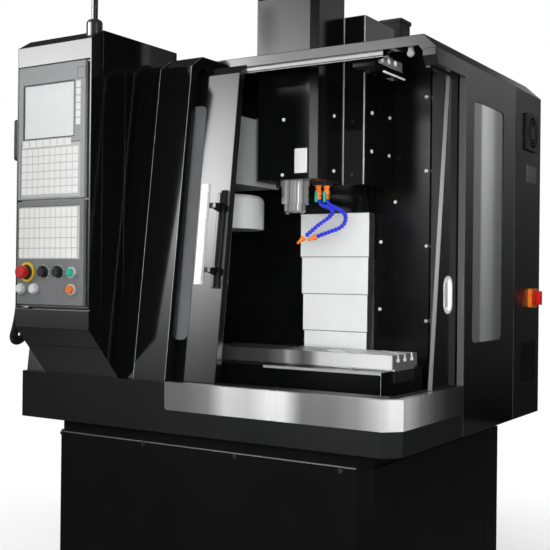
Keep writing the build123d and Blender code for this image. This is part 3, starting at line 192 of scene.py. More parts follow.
def mouldedGrain():
    group, source, result = newGroup("mouldedGrain", {"Grain Scale": 1400.0, "Cloud Scale": 30.0},
                                     ("Height", "Cloud"))
    pebble = addNode(group, "TexVoronoi", sockets={"Vector": source["Place"], "Scale": source["Grain Scale"]})
    cloud = addNode(group, "TexNoise", sockets={
        "Vector": source["Place"], "Scale": source["Cloud Scale"], "Detail": 3.0})
    setSockets(result, {"Height": pebble.outputs["Distance"],
                        "Cloud": ranged(group, cloud.outputs["Fac"], *noiseReach["cloud"])})
    return group


def softEdge():
    group = bpy.data.node_groups.new("softEdge", "ShaderNodeTree")
    group.interface.new_socket("Radius", in_out="INPUT", socket_type="NodeSocketFloat").default_value = 0.002
    group.interface.new_socket("Normal", in_out="OUTPUT", socket_type="NodeSocketVector")
    source, result = group.nodes.new("NodeGroupInput"), group.nodes.new("NodeGroupOutput")
    bend = addNode(group, "Bevel", {"samples": 6}, {"Radius": source.outputs["Radius"]})
    setSockets(result, {"Normal": bend.outputs["Normal"]})
    return group


effects = {"sprayed": sprayedCoat(), "brushed": brushedSheet(), "moulded": mouldedGrain(),
           "softEdge": softEdge()}


def startFinish(name):
    material = bpy.data.materials.new(name)
    material.use_nodes = True
    tree = material.node_tree
    place = addNode(tree, "TexCoord").outputs["Object"]
    return material, tree, tree.nodes["Principled BSDF"], place


def placeEffect(tree, place, effect, numbers):
    return addNode(tree, "Group", {"node_tree": effects[effect]}, {"Place": place, **numbers}).outputs


def raiseBump(tree, shader, height, strength, depth, edge=0.0):
    bump = addNode(tree, "Bump", sockets={"Strength": strength, "Distance": depth, "Height": height})
    if edge:
        bend = addNode(tree, "Group", {"node_tree": effects["softEdge"]}, {"Radius": edge})
        setSockets(bump, {"Normal": bend.outputs["Normal"]})
    setSockets(shader, {"Normal": bump.outputs["Normal"]})


def dress(tree, shader, colour, mask, rough):
    setSockets(shader, {"Base Color": colour, "Roughness": ranged(tree, mask, 0, 1, *rough)})


# a look gives its tones, roughness and what differs from these usual values
usualPaint = {"metal": 0.0, "gloss": 0.5, "index": 1.5, "peelScale": 420.0, "cloudScale": 5.0, "peel": 0.03,
              "peelDepth": 0.0005, "edge": 0.0, "lines": []}
usualMetal = {"metal": 1.0, "streakShare": 1.0, "across": 1400.0, "along": 30.0, "bandScale": 16.0,
              "rough": (0.22, 0.32), "scratch": 0.03, "scratchDepth": 0.0002}
usualPlastic = {"grain": 0.12, "grainDepth": 0.0004}


def sprayedPaint(name, look):
    look = {**usualPaint, **look}
    material, tree, shader, place = startFinish(name)
    scales = {"Peel Scale": look["peelScale"], "Cloud Scale": look["cloudScale"]}
    coat = placeEffect(tree, place, "sprayed", scales)
    colour = mixColour(tree, coat["Cloud"], *look["tones"])
    axes = axesOf(tree, place)
    for where, grey in look["lines"]:
        inside = 1.0
        for axis, reach in where.items():
            inside = times(tree, between(tree, axes[axis], *reach), inside)
        colour = mixColour(tree, inside, colour, (grey, grey, grey))
    dress(tree, shader, colour, coat["Cloud"], look["rough"])
    setSockets(shader, {"Metallic": look["metal"], "Specular IOR Level": look["gloss"], "IOR": look["index"]})
    raiseBump(tree, shader, coat["Height"], look["peel"], look["peelDepth"], look["edge"])
    return material


def brushedMetal(name, look):
    look = {**usualMetal, **look}
    material, tree, shader, place = startFinish(name)
    scales = {"Across": look["across"], "Along": look["along"], "Band Scale": look["bandScale"]}
    grain = placeEffect(tree, place, "brushed", scales)
    tone, bandTone, streakTone = look["tones"]
    streak = times(tree, grain["Streak"], look["streakShare"])
    colour = mixColour(tree, streak, mixColour(tree, grain["Band"], tone, bandTone), streakTone)
    dress(tree, shader, colour, grain["Streak"], look["rough"])
    setSockets(shader, {"Metallic": look["metal"]})
    raiseBump(tree, shader, grain["Height"], look["scratch"], look["scratchDepth"])
    return material


def mouldedPlastic(name, look):
    look = {**usualPlastic, **look}
    material, tree, shader, place = startFinish(name)
    grain = placeEffect(tree, place, "moulded", {})
    dress(tree, shader, mixColour(tree, grain["Cloud"], *look["tones"]), grain["Cloud"], look["rough"])
    raiseBump(tree, shader, grain["Height"], look["grain"], look["grainDepth"])
    return material


def greys(*values, step=0.0001):
    return [(value, value + step, value + 2 * step) for value in values]


def steels(*values, blue=-0.01):
    return [(value, value, value + blue) for value in values]


# enclosure lacquer: deep black gloss that mirrors the soft box
blackGloss = {"tones": greys(0.0024, 0.0034), "rough": (0.07, 0.11), "peelScale": 260.0, "cloudScale": 4.0,
              "gloss": 1.0, "index": 1.7, "edge": 0.003}
lacquer = sprayedPaint("blackLacquer", blackGloss)
# painted highlights down the cheek's two folded edges and on the right panel's front flange
cheekLacquer = sprayedPaint("cheekLacquer", {
    **blackGloss, "gloss": 0.45, "tones": greys(0.0036, 0.0046),
    "lines": [({"X": (-0.2112, -0.2086)}, 0.34), ({"X": (-0.0876, -0.0851)}, 0.22)]})
flangeLacquer = sprayedPaint("flangeLacquer", {**blackGloss, "lines": [({"Y": (-0.2, -0.0788)}, 0.085)]})
# a pale strip painted on the door rail's face under the roof; a painted highlight on the side door's edge
roofLacquer = sprayedPaint("roofLacquer", {**blackGloss, "lines": [
    ({"X": (-0.3, 0.506), "Y": (-0.2796, -0.2784), "Z": (1.755, 1.7729)}, 0.34)]})
leafLacquer = sprayedPaint("leafLacquer", {**blackGloss, "lines": [({"X": (0.6475, 0.66)}, 0.12)]})
# head: painted highlights down its two front corners, and its front between them painted a little greyer
headFront = (0.0365, 0.0375)
headLacquer = sprayedPaint("headLacquer", {**blackGloss, "lines": [
    ({"X": (0.204, 0.2072), "Y": headFront}, 0.42), ({"X": (0.2795, 0.2832), "Y": (0.0368, 0.0402)}, 0.42),
    ({"X": (0.2072, 0.2795), "Y": headFront, "Z": (1.34, 1.6)}, 0.012)]})
coverGloss = sprayedPaint("coverGloss", {**blackGloss, "gloss": 0.8, "rough": (0.18, 0.23)})

# duller coat of stand, skirt and saddle; painted highlights along the stand cover's top and the saddle's
# edges
standCoat = {"tones": greys(0.003, 0.0042), "rough": (0.42, 0.52), "cloudScale": 3.0, "peel": 0.1,
             "peelDepth": 0.0006, "gloss": 0.25}
paintedEdgeHighlight = {"lip": 0.0028, "corner": 0.0035, "saddleTop": (0.819, 0.8275), "saddleRun": (0.05, 1.0),
            "slack": 0.001}
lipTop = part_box("base_front_cover")[1].z
saddleLow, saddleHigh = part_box("saddle")
saddleFront = (saddleLow.y - paintedEdgeHighlight["slack"], saddleLow.y + paintedEdgeHighlight["slack"])
saddleCorner = (saddleHigh.x - paintedEdgeHighlight["corner"], saddleHigh.x + paintedEdgeHighlight["slack"])
standBlack = sprayedPaint("standBlack", {**standCoat, "peel": 0.12})
lippedBlack = sprayedPaint("lippedBlack", {**standCoat, "lines": [
    ({"Z": (lipTop - paintedEdgeHighlight["lip"], lipTop + paintedEdgeHighlight["slack"])}, 0.16)]})
saddleBlack = sprayedPaint("saddleBlack", {
    **standCoat, "tones": greys(0.0024, 0.0036), "rough": (0.2, 0.28), "gloss": 0.8,
    "lines": [({"X": paintedEdgeHighlight["saddleRun"], "Y": saddleFront, "Z": paintedEdgeHighlight["saddleTop"]}, 0.3),
              ({"X": saddleCorner, "Y": saddleFront}, 0.3)]})
panBlack = sprayedPaint("panBlack", {
    **standCoat, "tones": greys(0.011, 0.013, step=0.0002), "rough": (0.36, 0.46), "gloss": 0.3})
wallBlack = sprayedPaint("wallBlack", {
    "tones": greys(0.0022, 0.0036), "rough": (0.2, 0.28), "peelScale": 300.0, "cloudScale": 6.0,
    "peel": 0.06, "gloss": 0.8, "index": 1.6, "lines": [({"X": (0.431, 0.62)}, 0.15)]})
satinBlack = sprayedPaint("satinBlack", {
    "tones": greys(0.0026, 0.0036), "rough": (0.24, 0.32), "peelScale": 340.0})

# way cover plates: white faces, painted shade on the folded sides and along each lower lip
paleCoat = {"peelScale": 500.0, "peel": 0.04, "peelDepth": 0.0004}
coverPlates = {"right": 0.2165, "left": -0.0645, "step": 0.004, "fold": 0.0022, "sideShadeGrey": 0.045,
               "lip": 0.0036, "lipShadeGrey": 0.24, "slack": 0.001, "bottoms": (1.1825, 1.05, 0.918, 0.0)}


def coverFinish(index):
    plates = coverPlates
    inset = index * plates["step"] + plates["fold"]
    low = plates["bottoms"][index]
    return sprayedPaint("coverPlate%d" % index, {
        **paleCoat, "tones": [(0.7, 0.71, 0.71), (0.76, 0.77, 0.77)], "rough": (0.3, 0.4),
        "lines": [({"Z": (low - plates["slack"], low + plates["lip"])}, plates["lipShadeGrey"]),
                  ({"X": (plates["right"] - inset, 1.0)}, plates["sideShadeGrey"]),
                  ({"X": (-1.0, plates["left"] + inset)}, plates["sideShadeGrey"])]})


drumPale = sprayedPaint("drumPale", {
    **paleCoat, "tones": greys(0.52, 0.57, step=0.005), "rough": (0.25, 0.35)})
changerPale = sprayedPaint("changerPale", {
    **paleCoat, "tones": greys(0.42, 0.48, step=0.005), "rough": (0.28, 0.38), "metal": 0.2,
    "peelScale": 420.0, "cloudScale": 4.0})
castGrey = sprayedPaint("castGrey", {
    "tones": [(0.055, 0.056, 0.058), (0.085, 0.086, 0.088)], "metal": 0.1, "rough": (0.45, 0.6),
    "peelScale": 160.0, "cloudScale": 14.0, "peel": 0.3, "peelDepth": 0.0012})
# the side door's pull: a pale rim round a well painted greyer as shade
pullRim = {"across": 0.017, "up": 0.02}
pullLow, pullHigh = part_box("side_door_pull")
pullPale = sprayedPaint("pullPale", {
    "tones": greys(0.8, 0.86, step=0), "metal": 0.1, "rough": (0.3, 0.4), "peelScale": 500.0,
    "cloudScale": 9.0, "peel": 0.02, "peelDepth": 0.0003,
    "lines": [({"Y": (pullLow.y + pullRim["across"], pullHigh.y - pullRim["across"]),
                "Z": (pullLow.z + pullRim["up"], pullHigh.z - pullRim["up"])}, 0.4)]})

stainless = brushedMetal("brushedStainless", {
    "tones": [(0.5, 0.5, 0.495), (0.7, 0.7, 0.69), (0.62, 0.62, 0.61)], "across": 900.0, "along": 8.0,
    "bandScale": 7.0, "rough": (0.24, 0.36), "scratch": 0.08, "scratchDepth": 0.0003})
groundSteel = brushedMetal("groundSteel", {
    "tones": steels(0.62, 0.72, 0.68), "rough": (0.22, 0.34), "scratch": 0.06})
# spindle chrome: near-black and near-white upright bands painted into its colour as reflections
chrome = brushedMetal("chrome", {
    "tones": [(0.05, 0.05, 0.051), (0.95, 0.95, 0.94), (0.55, 0.55, 0.545)], "streakShare": 0.12,
    "metal": 0.62, "across": 1800.0, "along": 40.0, "bandScale": 62.0, "rough": (0.1, 0.15), "scratch": 0.02,
    "scratchDepth": 0.0001})
handleSilver = brushedMetal("handleSilver", {
    "tones": steels(0.88, 0.92, 0.9, blue=-0.005), "metal": 0.3, "across": 900.0, "along": 8.0,
    "bandScale": 9.0, "rough": (0.2, 0.3), "scratch": 0.04})
screwSteel = brushedMetal("screwSteel", {
    "tones": steels(0.8, 0.86, 0.83), "metal": 0.3, "scratchDepth": 0.0001})
screwDark = brushedMetal("screwDark", {
    "tones": steels(0.03, 0.045, 0.038, blue=0.001), "metal": 0.4, "scratchDepth": 0.0001})
plateGrain = {"across": 700.0, "along": 12.0, "bandScale": 20.0, "rough": (0.4, 0.5), "scratch": 0.05,
              "metal": 0.2}
platePale = brushedMetal("platePale", {**plateGrain, "tones": steels(0.76, 0.8, 0.78)})
plateDull = brushedMetal("plateDull", {**plateGrain, "tones": greys(0.15, 0.19, 0.17, step=-0.005)})

# bright steel with painted reflections in bands along one axis or around a corner, and spans of painted shade
trimHaze = {"share": 0.05, "tone": (0.45, 0.45, 0.445)}


def trimWithPaintedReflections(name, look):
    material, tree, shader, place = startFinish(name)
    band = placeEffect(tree, place, "brushed", {"Band Scale": look["bandScale"]})["Band"]
    axes = axesOf(tree, place)
    along = math2(tree, "ADD", axes["X"], axes["Y"]) if look["axis"] == "around" else axes[look["axis"]]
    tone = greyRamp(tree, along, look["paintedReflection"])
    # painted shade: each span along an axis is given a dark grey
    for axis, low, high, grey in look["shades"]:
        tone = mixColour(tree, between(tree, axes[axis], low, high), tone, (grey, grey, grey))
    tone = mixColour(tree, times(tree, band, trimHaze["share"]), tone, trimHaze["tone"])
    dress(tree, shader, tone, band, look["rough"])
    setSockets(shader, {"Metallic": look["metal"]})
    raiseBump(tree, shader, band, look["scratch"], look["scratchDepth"], look["edge"])
    return material


# sill trim along the front and round the corner, its bright and dark bands painted reflections
trimSteel = trimWithPaintedReflections("trimSteel", {
    "axis": "around", "shades": [], "bandScale": 7.0, "rough": (0.26, 0.31), "scratch": 0.012,
    "scratchDepth": 0.0003, "metal": 0.35, "edge": 0.002,
    "paintedReflection": [(-0.72, 0.17), (-0.54, 0.17), (-0.46, 0.26), (-0.4, 0.72), (-0.32, 0.6), (-0.25, 0.86),
               (-0.2, 0.82), (-0.155, 0.28), (-0.14, 0.18), (-0.05, 0.18), (0.03, 0.27), (0.09, 0.52),
               (0.14, 0.8), (0.22, 0.8), (0.3, 0.34), (0.4, 0.12), (0.49, 0.03), (0.6, 0.02)]})
# work table: painted reflection brightening to its right end, painted shade on its end face and below its top
# block
tableSteel = trimWithPaintedReflections("tableSteel", {
    "axis": "X", "shades": [("Z", 0.0, 0.8255, 0.02)], "bandScale": 9.0, "rough": (0.24, 0.29),
    "scratch": 0.006, "scratchDepth": 0.0002, "metal": 0.45, "edge": 0.0,
    "paintedReflection": [(-0.22, 0.05), (0.02, 0.06), (0.085, 0.18), (0.105, 0.5), (0.125, 0.3), (0.16, 0.12),
               (0.19, 0.22), (0.225, 0.8), (0.4, 0.92), (0.478, 0.92), (0.4795, 0.015), (0.49, 0.015)]})

blackPlastic = mouldedPlastic("blackPlastic", {
    "tones": steels(0.014, 0.022, blue=0.0005), "rough": (0.35, 0.5)})
whitePlastic = mouldedPlastic("whitePlastic", {"tones": steels(0.74, 0.8), "rough": (0.3, 0.42)})
redPlastic = mouldedPlastic("redPlastic", {
    "tones": [(0.52, 0.012, 0.014), (0.62, 0.018, 0.018)], "rough": (0.22, 0.34), "grain": 0.05})
greenPlastic = mouldedPlastic("greenPlastic", {
    "tones": [(0.012, 0.34, 0.22), (0.018, 0.42, 0.28)], "rough": (0.25, 0.36), "grain": 0.05})
orangePlastic = mouldedPlastic("orangePlastic", {
    "tones": [(0.72, 0.16, 0.012), (0.8, 0.21, 0.02)], "rough": (0.25, 0.38), "grain": 0.05})
bluePlastic = mouldedPlastic("bluePlastic", {
    "tones": [(0.022, 0.03, 0.52), (0.03, 0.042, 0.62)], "rough": (0.28, 0.4), "grain": 0.06})
cordRubber = mouldedPlastic("cordRubber", {
    "tones": steels(0.01, 0.016, blue=0.0005), "rough": (0.4, 0.52), "grain": 0.08})
lampGrey = mouldedPlastic("lampGrey", {"tones": greys(0.32, 0.38, step=0.005), "rough": (0.3, 0.4)})
lampGlow = mouldedPlastic("lampGlow", {"tones": steels(0.8, 0.84), "rough": (0.2, 0.3)})
setSockets(lampGlow.node_tree.nodes["Principled BSDF"], {
    "Emission Color": (1.0, 1.0, 1.0, 1.0), "Emission Strength": 0.25})


def tintedPane(name, look):
    material, tree, shader, place = startFinish(name)
    smear = placeEffect(tree, place, "sprayed", {"Cloud Scale": look["smearScale"]})["Cloud"]
    dress(tree, shader, mixColour(tree, smear, *look["tones"]), smear, look["rough"])
    setSockets(shader, {"Metallic": look["mirror"], "Transmission Weight": look["clear"],
                        "IOR": look["index"]})
    return material


paneSheet = {"smearScale": 7.0, "rough": (0.06, 0.14), "mirror": 0.5, "clear": 0.4, "index": 1.5}
smokedPane = tintedPane("smokedPane", {**paneSheet, "tones": greys(0.4, 0.46, step=0.01)})


# right-hand pane: painted light, a paler upright glow standing in for the lit inside, fading downwards
def bandedPane(name, look):
    material = tintedPane(name, look)
    tree = material.node_tree
    shader = tree.nodes["Principled BSDF"]
    axes = axesOf(tree, addNode(tree, "TexCoord").outputs["Object"])
    band = greyRamp(tree, axes["Y"], look["band"])
    fade = greyRamp(tree, axes["Z"], look["fade"])
    lit = mixColour(tree, fade, (0.0, 0.0, 0.0), band)
    setSockets(shader, {"Emission Color": lit, "Emission Strength": 1.0})
    return material


sidePane = bandedPane("sidePane", {
    **paneSheet, "tones": greys(0.34, 0.4, step=0.005),
    "band": [(-0.03, 0.1), (-0.015, 0.12), (-0.008, 0.03), (0.05, 0.035), (0.066, 0.25), (0.09, 0.27),
             (0.15, 0.18), (0.178, 0.07), (0.2, 0.03), (0.26, 0.012)],
    "fade": [(0.9, 0.3), (1.0, 0.34), (1.25, 0.6), (1.5, 0.95), (1.67, 1.0)]})
print("finishes made")

# free cord of the hand pendant: a coil that follows the route in a smooth curve
pendantCord = {
    "route": [
        (-0.596, -0.628, 1.474), (-0.596, -0.628, 1.375), (-0.596, -0.629, 1.276), (-0.596, -0.631, 1.18),
        (-0.598, -0.633, 1.09), (-0.602, -0.635, 1.01), (-0.613, -0.637, 0.946), (-0.631, -0.635, 0.906),
        (-0.651, -0.603, 0.89), (-0.66, -0.563, 0.902), (-0.658, -0.529, 0.946), (-0.654, -0.517, 1.008),
        (-0.654, -0.517, 1.076)],
    "wire": 0.0056, "coil": 0.0276, "pitch": 0.0062, "pointsPerTurn": 12, "plainEnd": 0.016}


def smoothLine(name, points, resolution=16):
    data = bpy.data.curves.new(name, "CURVE")
    data.dimensions = "3D"
    data.resolution_u = resolution
    spline = data.splines.new("NURBS")
    spline.points.add(len(points) - 1)
    for target, point in zip(spline.points, points):
        target.co = (*point, 1.0)
    spline.order_u = 3
    spline.use_endpoint_u = True
    return data


def readLine(data):
    holder = addObject("lineReader", data)
    mesh = bpy.data.meshes.new_from_object(holder)
    points = [vertex.co.copy() for vertex in mesh.vertices]
    bpy.data.objects.remove(holder)
    bpy.data.meshes.remove(mesh)
    return points


def walkLine(points, step):
    spaced = []
    travelled, due = 0.0, 0.0
    for start, end in zip(points, points[1:]):
        run = (end - start).length
        while due <= travelled + run and run > 0:
            share = (due - travelled) / run
            spaced.append((start.lerp(end, share), (end - start).normalized()))
            due += step
        travelled += run
    return spaced, travelled


def coiledCord(settings):
    line = readLine(smoothLine("pendantRoute", settings["route"]))
    step = settings["pitch"] / settings["pointsPerTurn"]
    stations, total = walkLine(line, step)
    radius = (settings["coil"] - settings["wire"]) / 2
    side = Vector((1, 0, 0))
    turns = []
    for index, (centre, along) in enumerate(stations):
        side = (side - along * side.dot(along)).normalized()  # carried along so the coil doesn't twist
        across = along.cross(side)
        reach = min(index * step, total - index * step)
        share = max(0.0, min(1.0, (reach - settings["plainEnd"] * 0.5) / settings["plainEnd"]))
        angle = 2 * math.pi * index / settings["pointsPerTurn"]
        turns.append(centre + (side * math.cos(angle) + across * math.sin(angle)) * radius * share)
    data = smoothLine("pendantCoil", turns, 2)
    data.bevel_depth = settings["wire"] / 2
    data.bevel_resolution = 2
    data.use_fill_caps = True
    length = sum((b - a).length for a, b in zip(turns, turns[1:]))
    return data, length


coilData, coilLength = coiledCord(pendantCord)
coilData.materials.append(cordRubber)
coilPiece = addObject("pendantCoil", coilData)
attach(coilPiece, "machine")
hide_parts("pendant_cord")
print("pendant cord coiled, %.2f m of wire" % coilLength)

# studio: a pale backdrop behind the machine, a dim room elsewhere
studio = {"room": (0.04, 0.04, 0.041), "sky": (0.06, 0.06, 0.061), "skyReach": (0.2, 0.9),
          "backdropFaces": (-0.537, 0.843, 0.0), "backdropEdge": (0.74, 0.9), "backdropTop": (0.2, 0.36)}


def lightRoom(settings):
    world = bpy.data.worlds.new("studio")
    scene.world = world
    world.use_nodes = True
    tree = world.node_tree
    direction = addNode(tree, "TexCoord").outputs["Generated"]
    height = axesOf(tree, direction)["Z"]
    room = mixColour(tree, ranged(tree, height, *settings["skyReach"]), settings["room"], settings["sky"])
    behind = distanceAlong(tree, direction, settings["backdropFaces"])
    backdrop = ranged(tree, behind, *settings["backdropEdge"], smooth=True)
    below = ranged(tree, height, *settings["backdropTop"], 1.0, 0.0, smooth=True)
    path = addNode(tree, "LightPath").outputs
    seen = math2(tree, "MAXIMUM", path["Is Camera Ray"], path["Is Transmission Ray"])
    mirrored = times(tree, path["Is Glossy Ray"], times(tree, backdrop, below))
    white = math2(tree, "MAXIMUM", seen, mirrored)
    setSockets(tree.nodes["Background"], {"Color": mixColour(tree, white, room, (1.0, 1.0, 1.0))})


lightRoom(studio)

# soft boxes: upright glowing panels that fade towards their edges, at the front left, behind and at the right
softBoxes = {
    "front": {
        "middle": (-1.85, -3.05), "across": (0.843, -0.537),
        "spread": [(-1.45, 0.0), (-1.0, 0.9), (-0.7, 1.0), (-0.12, 1.0), (0.06, 0.62), (0.22, 0.45),
                   (0.95, 0.42), (1.2, 0.3), (1.45, 0.0)],
        "glow": [(0.6, 0.0), (0.72, 0.16), (0.85, 0.24), (1.0, 0.36), (1.3, 0.82), (1.55, 1.65), (1.75, 2.5),
                 (1.9, 3.6), (2.1, 4.6), (2.3, 5.3), (2.6, 4.2), (2.95, 2.4), (3.3, 0.8), (3.6, 0.0)]},
    "rear": {
        "middle": (1.5, 2.5), "across": (1.0, 0.0),
        "spread": [(-0.62, 0.0), (-0.4, 1.0), (0.3, 1.0), (0.46, 0.0)],
        "glow": [(0.3, 0.0), (1.1, 0.06), (1.5, 0.12), (1.9, 0.22), (2.4, 0.38), (3.0, 0.3), (3.4, 0.0)]},
    "right": {
        "middle": (3.2, -2.05), "across": (0.54, 0.84),
        "spread": [(-0.42, 0.0), (-0.2, 1.0), (0.2, 1.0), (0.42, 0.0)],
        "glow": [(0.9, 0.0), (1.2, 1.2), (1.6, 3.0), (1.85, 2.8), (2.2, 1.0), (2.6, 0.35), (3.0, 0.0)]}}
softBoxTone = (0.02, 0.02, 0.02, 1.0)


def raiseSoftBox(name, box):
    middle, across = Vector((*box["middle"], 0)), Vector((*box["across"], 0))
    left, right = middle + across * box["spread"][0][0], middle + across * box["spread"][-1][0]
    low, high = box["glow"][0][0], box["glow"][-1][0]
    corners = ((left, low), (right, low), (right, high), (left, high))
    mesh = bpy.data.meshes.new(name + "SoftBox")
    mesh.from_pydata([(side.x, side.y, height) for side, height in corners], [], [(0, 1, 2, 3)])
    panel = addObject(name + "SoftBox", mesh)
    panel.visible_camera = False
    material, tree, shader, place = startFinish(name + "SoftBox")
    brightest = max(light for height, light in box["glow"])
    shares = [(height, light / brightest) for height, light in box["glow"]]
    glow = greyRamp(tree, axesOf(tree, place)["Z"], shares)
    along = math2(tree, "SUBTRACT", distanceAlong(tree, place, across), middle.dot(across))
    spread = greyRamp(tree, along, box["spread"])
    setSockets(shader, {
        "Emission Color": mixColour(tree, spread, (0.0, 0.0, 0.0), glow), "Emission Strength": brightest,
        "Base Color": softBoxTone, "Specular IOR Level": 0.0})
    mesh.materials.append(material)


for boxName, softBox in softBoxes.items():
    raiseSoftBox(boxName, softBox)

softLamps = {
    "front": {"place": (1.9, -3.9, 2.5), "aim": (0.1, -0.2, 1.1), "size": 2.2, "power": 45.0, "spread": 180},
    "inside": {"place": (1.6, -2.6, 1.25), "aim": (0.14, 0.2, 1.12), "size": 0.8, "power": 9.0, "spread": 50},
    "above": {"place": (-0.6, -1.2, 4.2), "aim": (0.0, 0.0, 1.0), "size": 3.0, "power": 30.0, "spread": 180}}


def hangLamps(settings):
    for name, lamp in settings.items():
        data = bpy.data.lights.new(name + "Lamp", "AREA")
        data.shape = "SQUARE"
        data.size = lamp["size"]
        data.energy = lamp["power"]
        data.spread = math.radians(lamp["spread"])
        holder = addObject(name + "Lamp", data)
        holder.location = lamp["place"]
        aim = Vector(lamp["aim"]) - Vector(lamp["place"])
        holder.rotation_euler = aim.to_track_quat("-Z", "Y").to_euler()
        holder.visible_glossy = False


hangLamps(softLamps)

floorLook = {"reach": 2.3, "rim": 64, "tone": (0.8, 0.8, 0.8), "cloudLift": 1.02, "cloudScale": 0.8,
             "rough": 0.6, "gloss": 0.2, "lift": 0.62, "mirrored": 0.12, "dimmed": 0.85,
             "dimTone": (0.04, 0.04, 0.04), "solid": 0.9, "fadeShare": 0.98}


def layFloor(settings):
    reach = settings["reach"]
    turns = [2 * math.pi * index / settings["rim"] for index in range(settings["rim"])]
    mesh = bpy.data.meshes.new("floor")
    mesh.from_pydata([(reach * math.cos(turn), reach * math.sin(turn), 0) for turn in turns], [],
                     [tuple(range(settings["rim"]))])
    floor = addObject("floor", mesh)
    material, tree, shader, place = startFinish("paleFloor")
    cloud = placeEffect(tree, place, "sprayed", {"Cloud Scale": settings["cloudScale"]})["Cloud"]
    pale = settings["tone"]
    clean = mixColour(tree, cloud, pale, tuple(value * settings["cloudLift"] for value in pale))
    path = addNode(tree, "LightPath").outputs
    dimmed = times(tree, path["Is Glossy Ray"], settings["dimmed"])
    seen = math2(tree, "MAXIMUM", path["Is Camera Ray"], path["Is Transmission Ray"])
    mirrored = times(tree, path["Is Glossy Ray"], settings["mirrored"])
    lift = times(tree, math2(tree, "MAXIMUM", seen, mirrored), settings["lift"])
    away = addNode(tree, "VectorMath", {"operation": "LENGTH"}, {0: place}).outputs["Value"]
    # the floor runs out softly into the white backdrop
    solid = ranged(tree, away, settings["solid"], reach * settings["fadeShare"], 1.0, 0.0, smooth=True)
    setSockets(shader, {
        "Base Color": mixColour(tree, dimmed, clean, settings["dimTone"]), "Roughness": settings["rough"],
        "Specular IOR Level": settings["gloss"], "Emission Color": (1.0, 1.0, 1.0, 1.0),
        "Emission Strength": lift, "Alpha": solid})
    mesh.materials.append(material)


layFloor(floorLook)
print("studio lit")

# control faces: one plate with moulded keys that stand proud of it
controlFace = {"front": -0.676, "keyRise": 0.0004, "key": (0.86, 0.86, 0.85), "grainScale": 1600.0,
               "rough": (0.34, 0.46), "grain": 0.08, "grainDepth": 0.0003}
controlCentres = {"estop": (1209, 478), "feed": (1138, 478), "speed": (1075, 478), "start": (1018, 478),
                  "powerOn": (1233, 426), "powerOff": (1176, 426), "hold": (1018, 426)}
ringTones = {"yellow": (0.74, 0.5, 0.01), "dark": (0.03, 0.03, 0.032), "silver": (0.55, 0.55, 0.55)}
# the e-stop's dark disc inside its yellow ring is painted shade
ringRadius = {"estop": 0.032, "estopPaintedShade": 0.024, "button": 0.019}
screenGap = {"left": 0.0045, "right": 0.0035, "below": 0.0035, "above": 0.0045}


def insideCircle(tree, axes, centre, radius):
    point = spot(centre[0], 0, centre[1])
    across = math2(tree, "SUBTRACT", axes["X"], point.x)
    up = math2(tree, "SUBTRACT", axes["Z"], point.z)
    squared = math2(tree, "ADD", times(tree, across, across), times(tree, up, up))
    return math2(tree, "LESS_THAN", squared, radius * radius)


def keyedPlate(name, look):
    face = controlFace
    material, tree, shader, place = startFinish(name)
    grain = placeEffect(tree, place, "moulded", {"Grain Scale": face["grainScale"]})
    axes = axesOf(tree, place)
    proud = math2(tree, "LESS_THAN", axes["Y"], face["front"] - face["keyRise"])
    plate = mixColour(tree, grain["Cloud"], look["plate"], look["plateCloud"])
    for left, right, low, high, grey in look["fields"]:
        across, up = between(tree, axes["X"], left, right), between(tree, axes["Z"], low, high)
        plate = mixColour(tree, times(tree, across, up), plate, (grey, grey, grey))
    colour = mixColour(tree, proud, plate, face["key"])
    for centre, radius, tone in look.get("rings", []):
        ring = times(tree, insideCircle(tree, axes, centre, radius), proud)
        colour = mixColour(tree, ring, colour, tone)
    dress(tree, shader, colour, grain["Cloud"], face["rough"])
    raiseBump(tree, shader, grain["Height"], face["grain"], face["grainDepth"])
    return material


screenLow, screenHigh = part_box("display_screen")
# key fields: the dark rim along their top and left is painted shade of the recess
displayPlate = keyedPlate("displayPlate", {
    "plate": (0.3, 0.305, 0.31), "plateCloud": (0.34, 0.345, 0.35),
    "fields": [(screenLow.x - screenGap["left"], screenHigh.x + screenGap["right"],
                screenLow.z - screenGap["below"], screenHigh.z + screenGap["above"], 0.045),
               (-0.3225, -0.288, 1.7045, 1.739, 0.1), (-0.3205, -0.29, 1.7065, 1.737, 0.33),
               (-0.559, -0.306, 1.35, 1.5165, 0.05), (-0.5565, -0.306, 1.35, 1.514, 0.5)]})
# the operator plate is painted a darker grey than the display plate: painted shade for light falling off
# downwards
operatorPlate = keyedPlate("operatorPlate", {
    "plate": (0.165, 0.168, 0.172), "plateCloud": (0.19, 0.193, 0.197),
    "fields": [(-0.562, -0.3055, 1.159, 1.323, 0.05), (-0.5595, -0.3055, 1.159, 1.3205, 0.5)],
    "rings": [(controlCentres["estop"], ringRadius["estop"], ringTones["yellow"]),
              (controlCentres["estop"], ringRadius["estopPaintedShade"], ringTones["dark"])] +
             [(controlCentres[key], ringRadius["button"], ringTones["dark"]) for key in ("feed", "speed")] +
             [(controlCentres[key], ringRadius["button"], ringTones["silver"])
              for key in ("start", "hold", "powerOn", "powerOff")]})
screenPale = sprayedPaint("screenPale", {
    "tones": [(0.66, 0.675, 0.68), (0.71, 0.725, 0.73)], "rough": (0.12, 0.2), "peelScale": 900.0,
    "cloudScale": 9.0, "peel": 0.02, "peelDepth": 0.0002})

# lamp stack: a steel pole, then each lamp from its share of the height
towerLamps = {"pole": (0.5, 0.5, 0.5), "grainScale": 900.0, "rough": (0.2, 0.32), "grain": 0.05,
              "grainDepth": 0.0003,
              "lamps": [(0.6, (0.02, 0.32, 0.08)), (0.74, (0.75, 0.42, 0.02)), (0.87, (0.58, 0.02, 0.02))]}


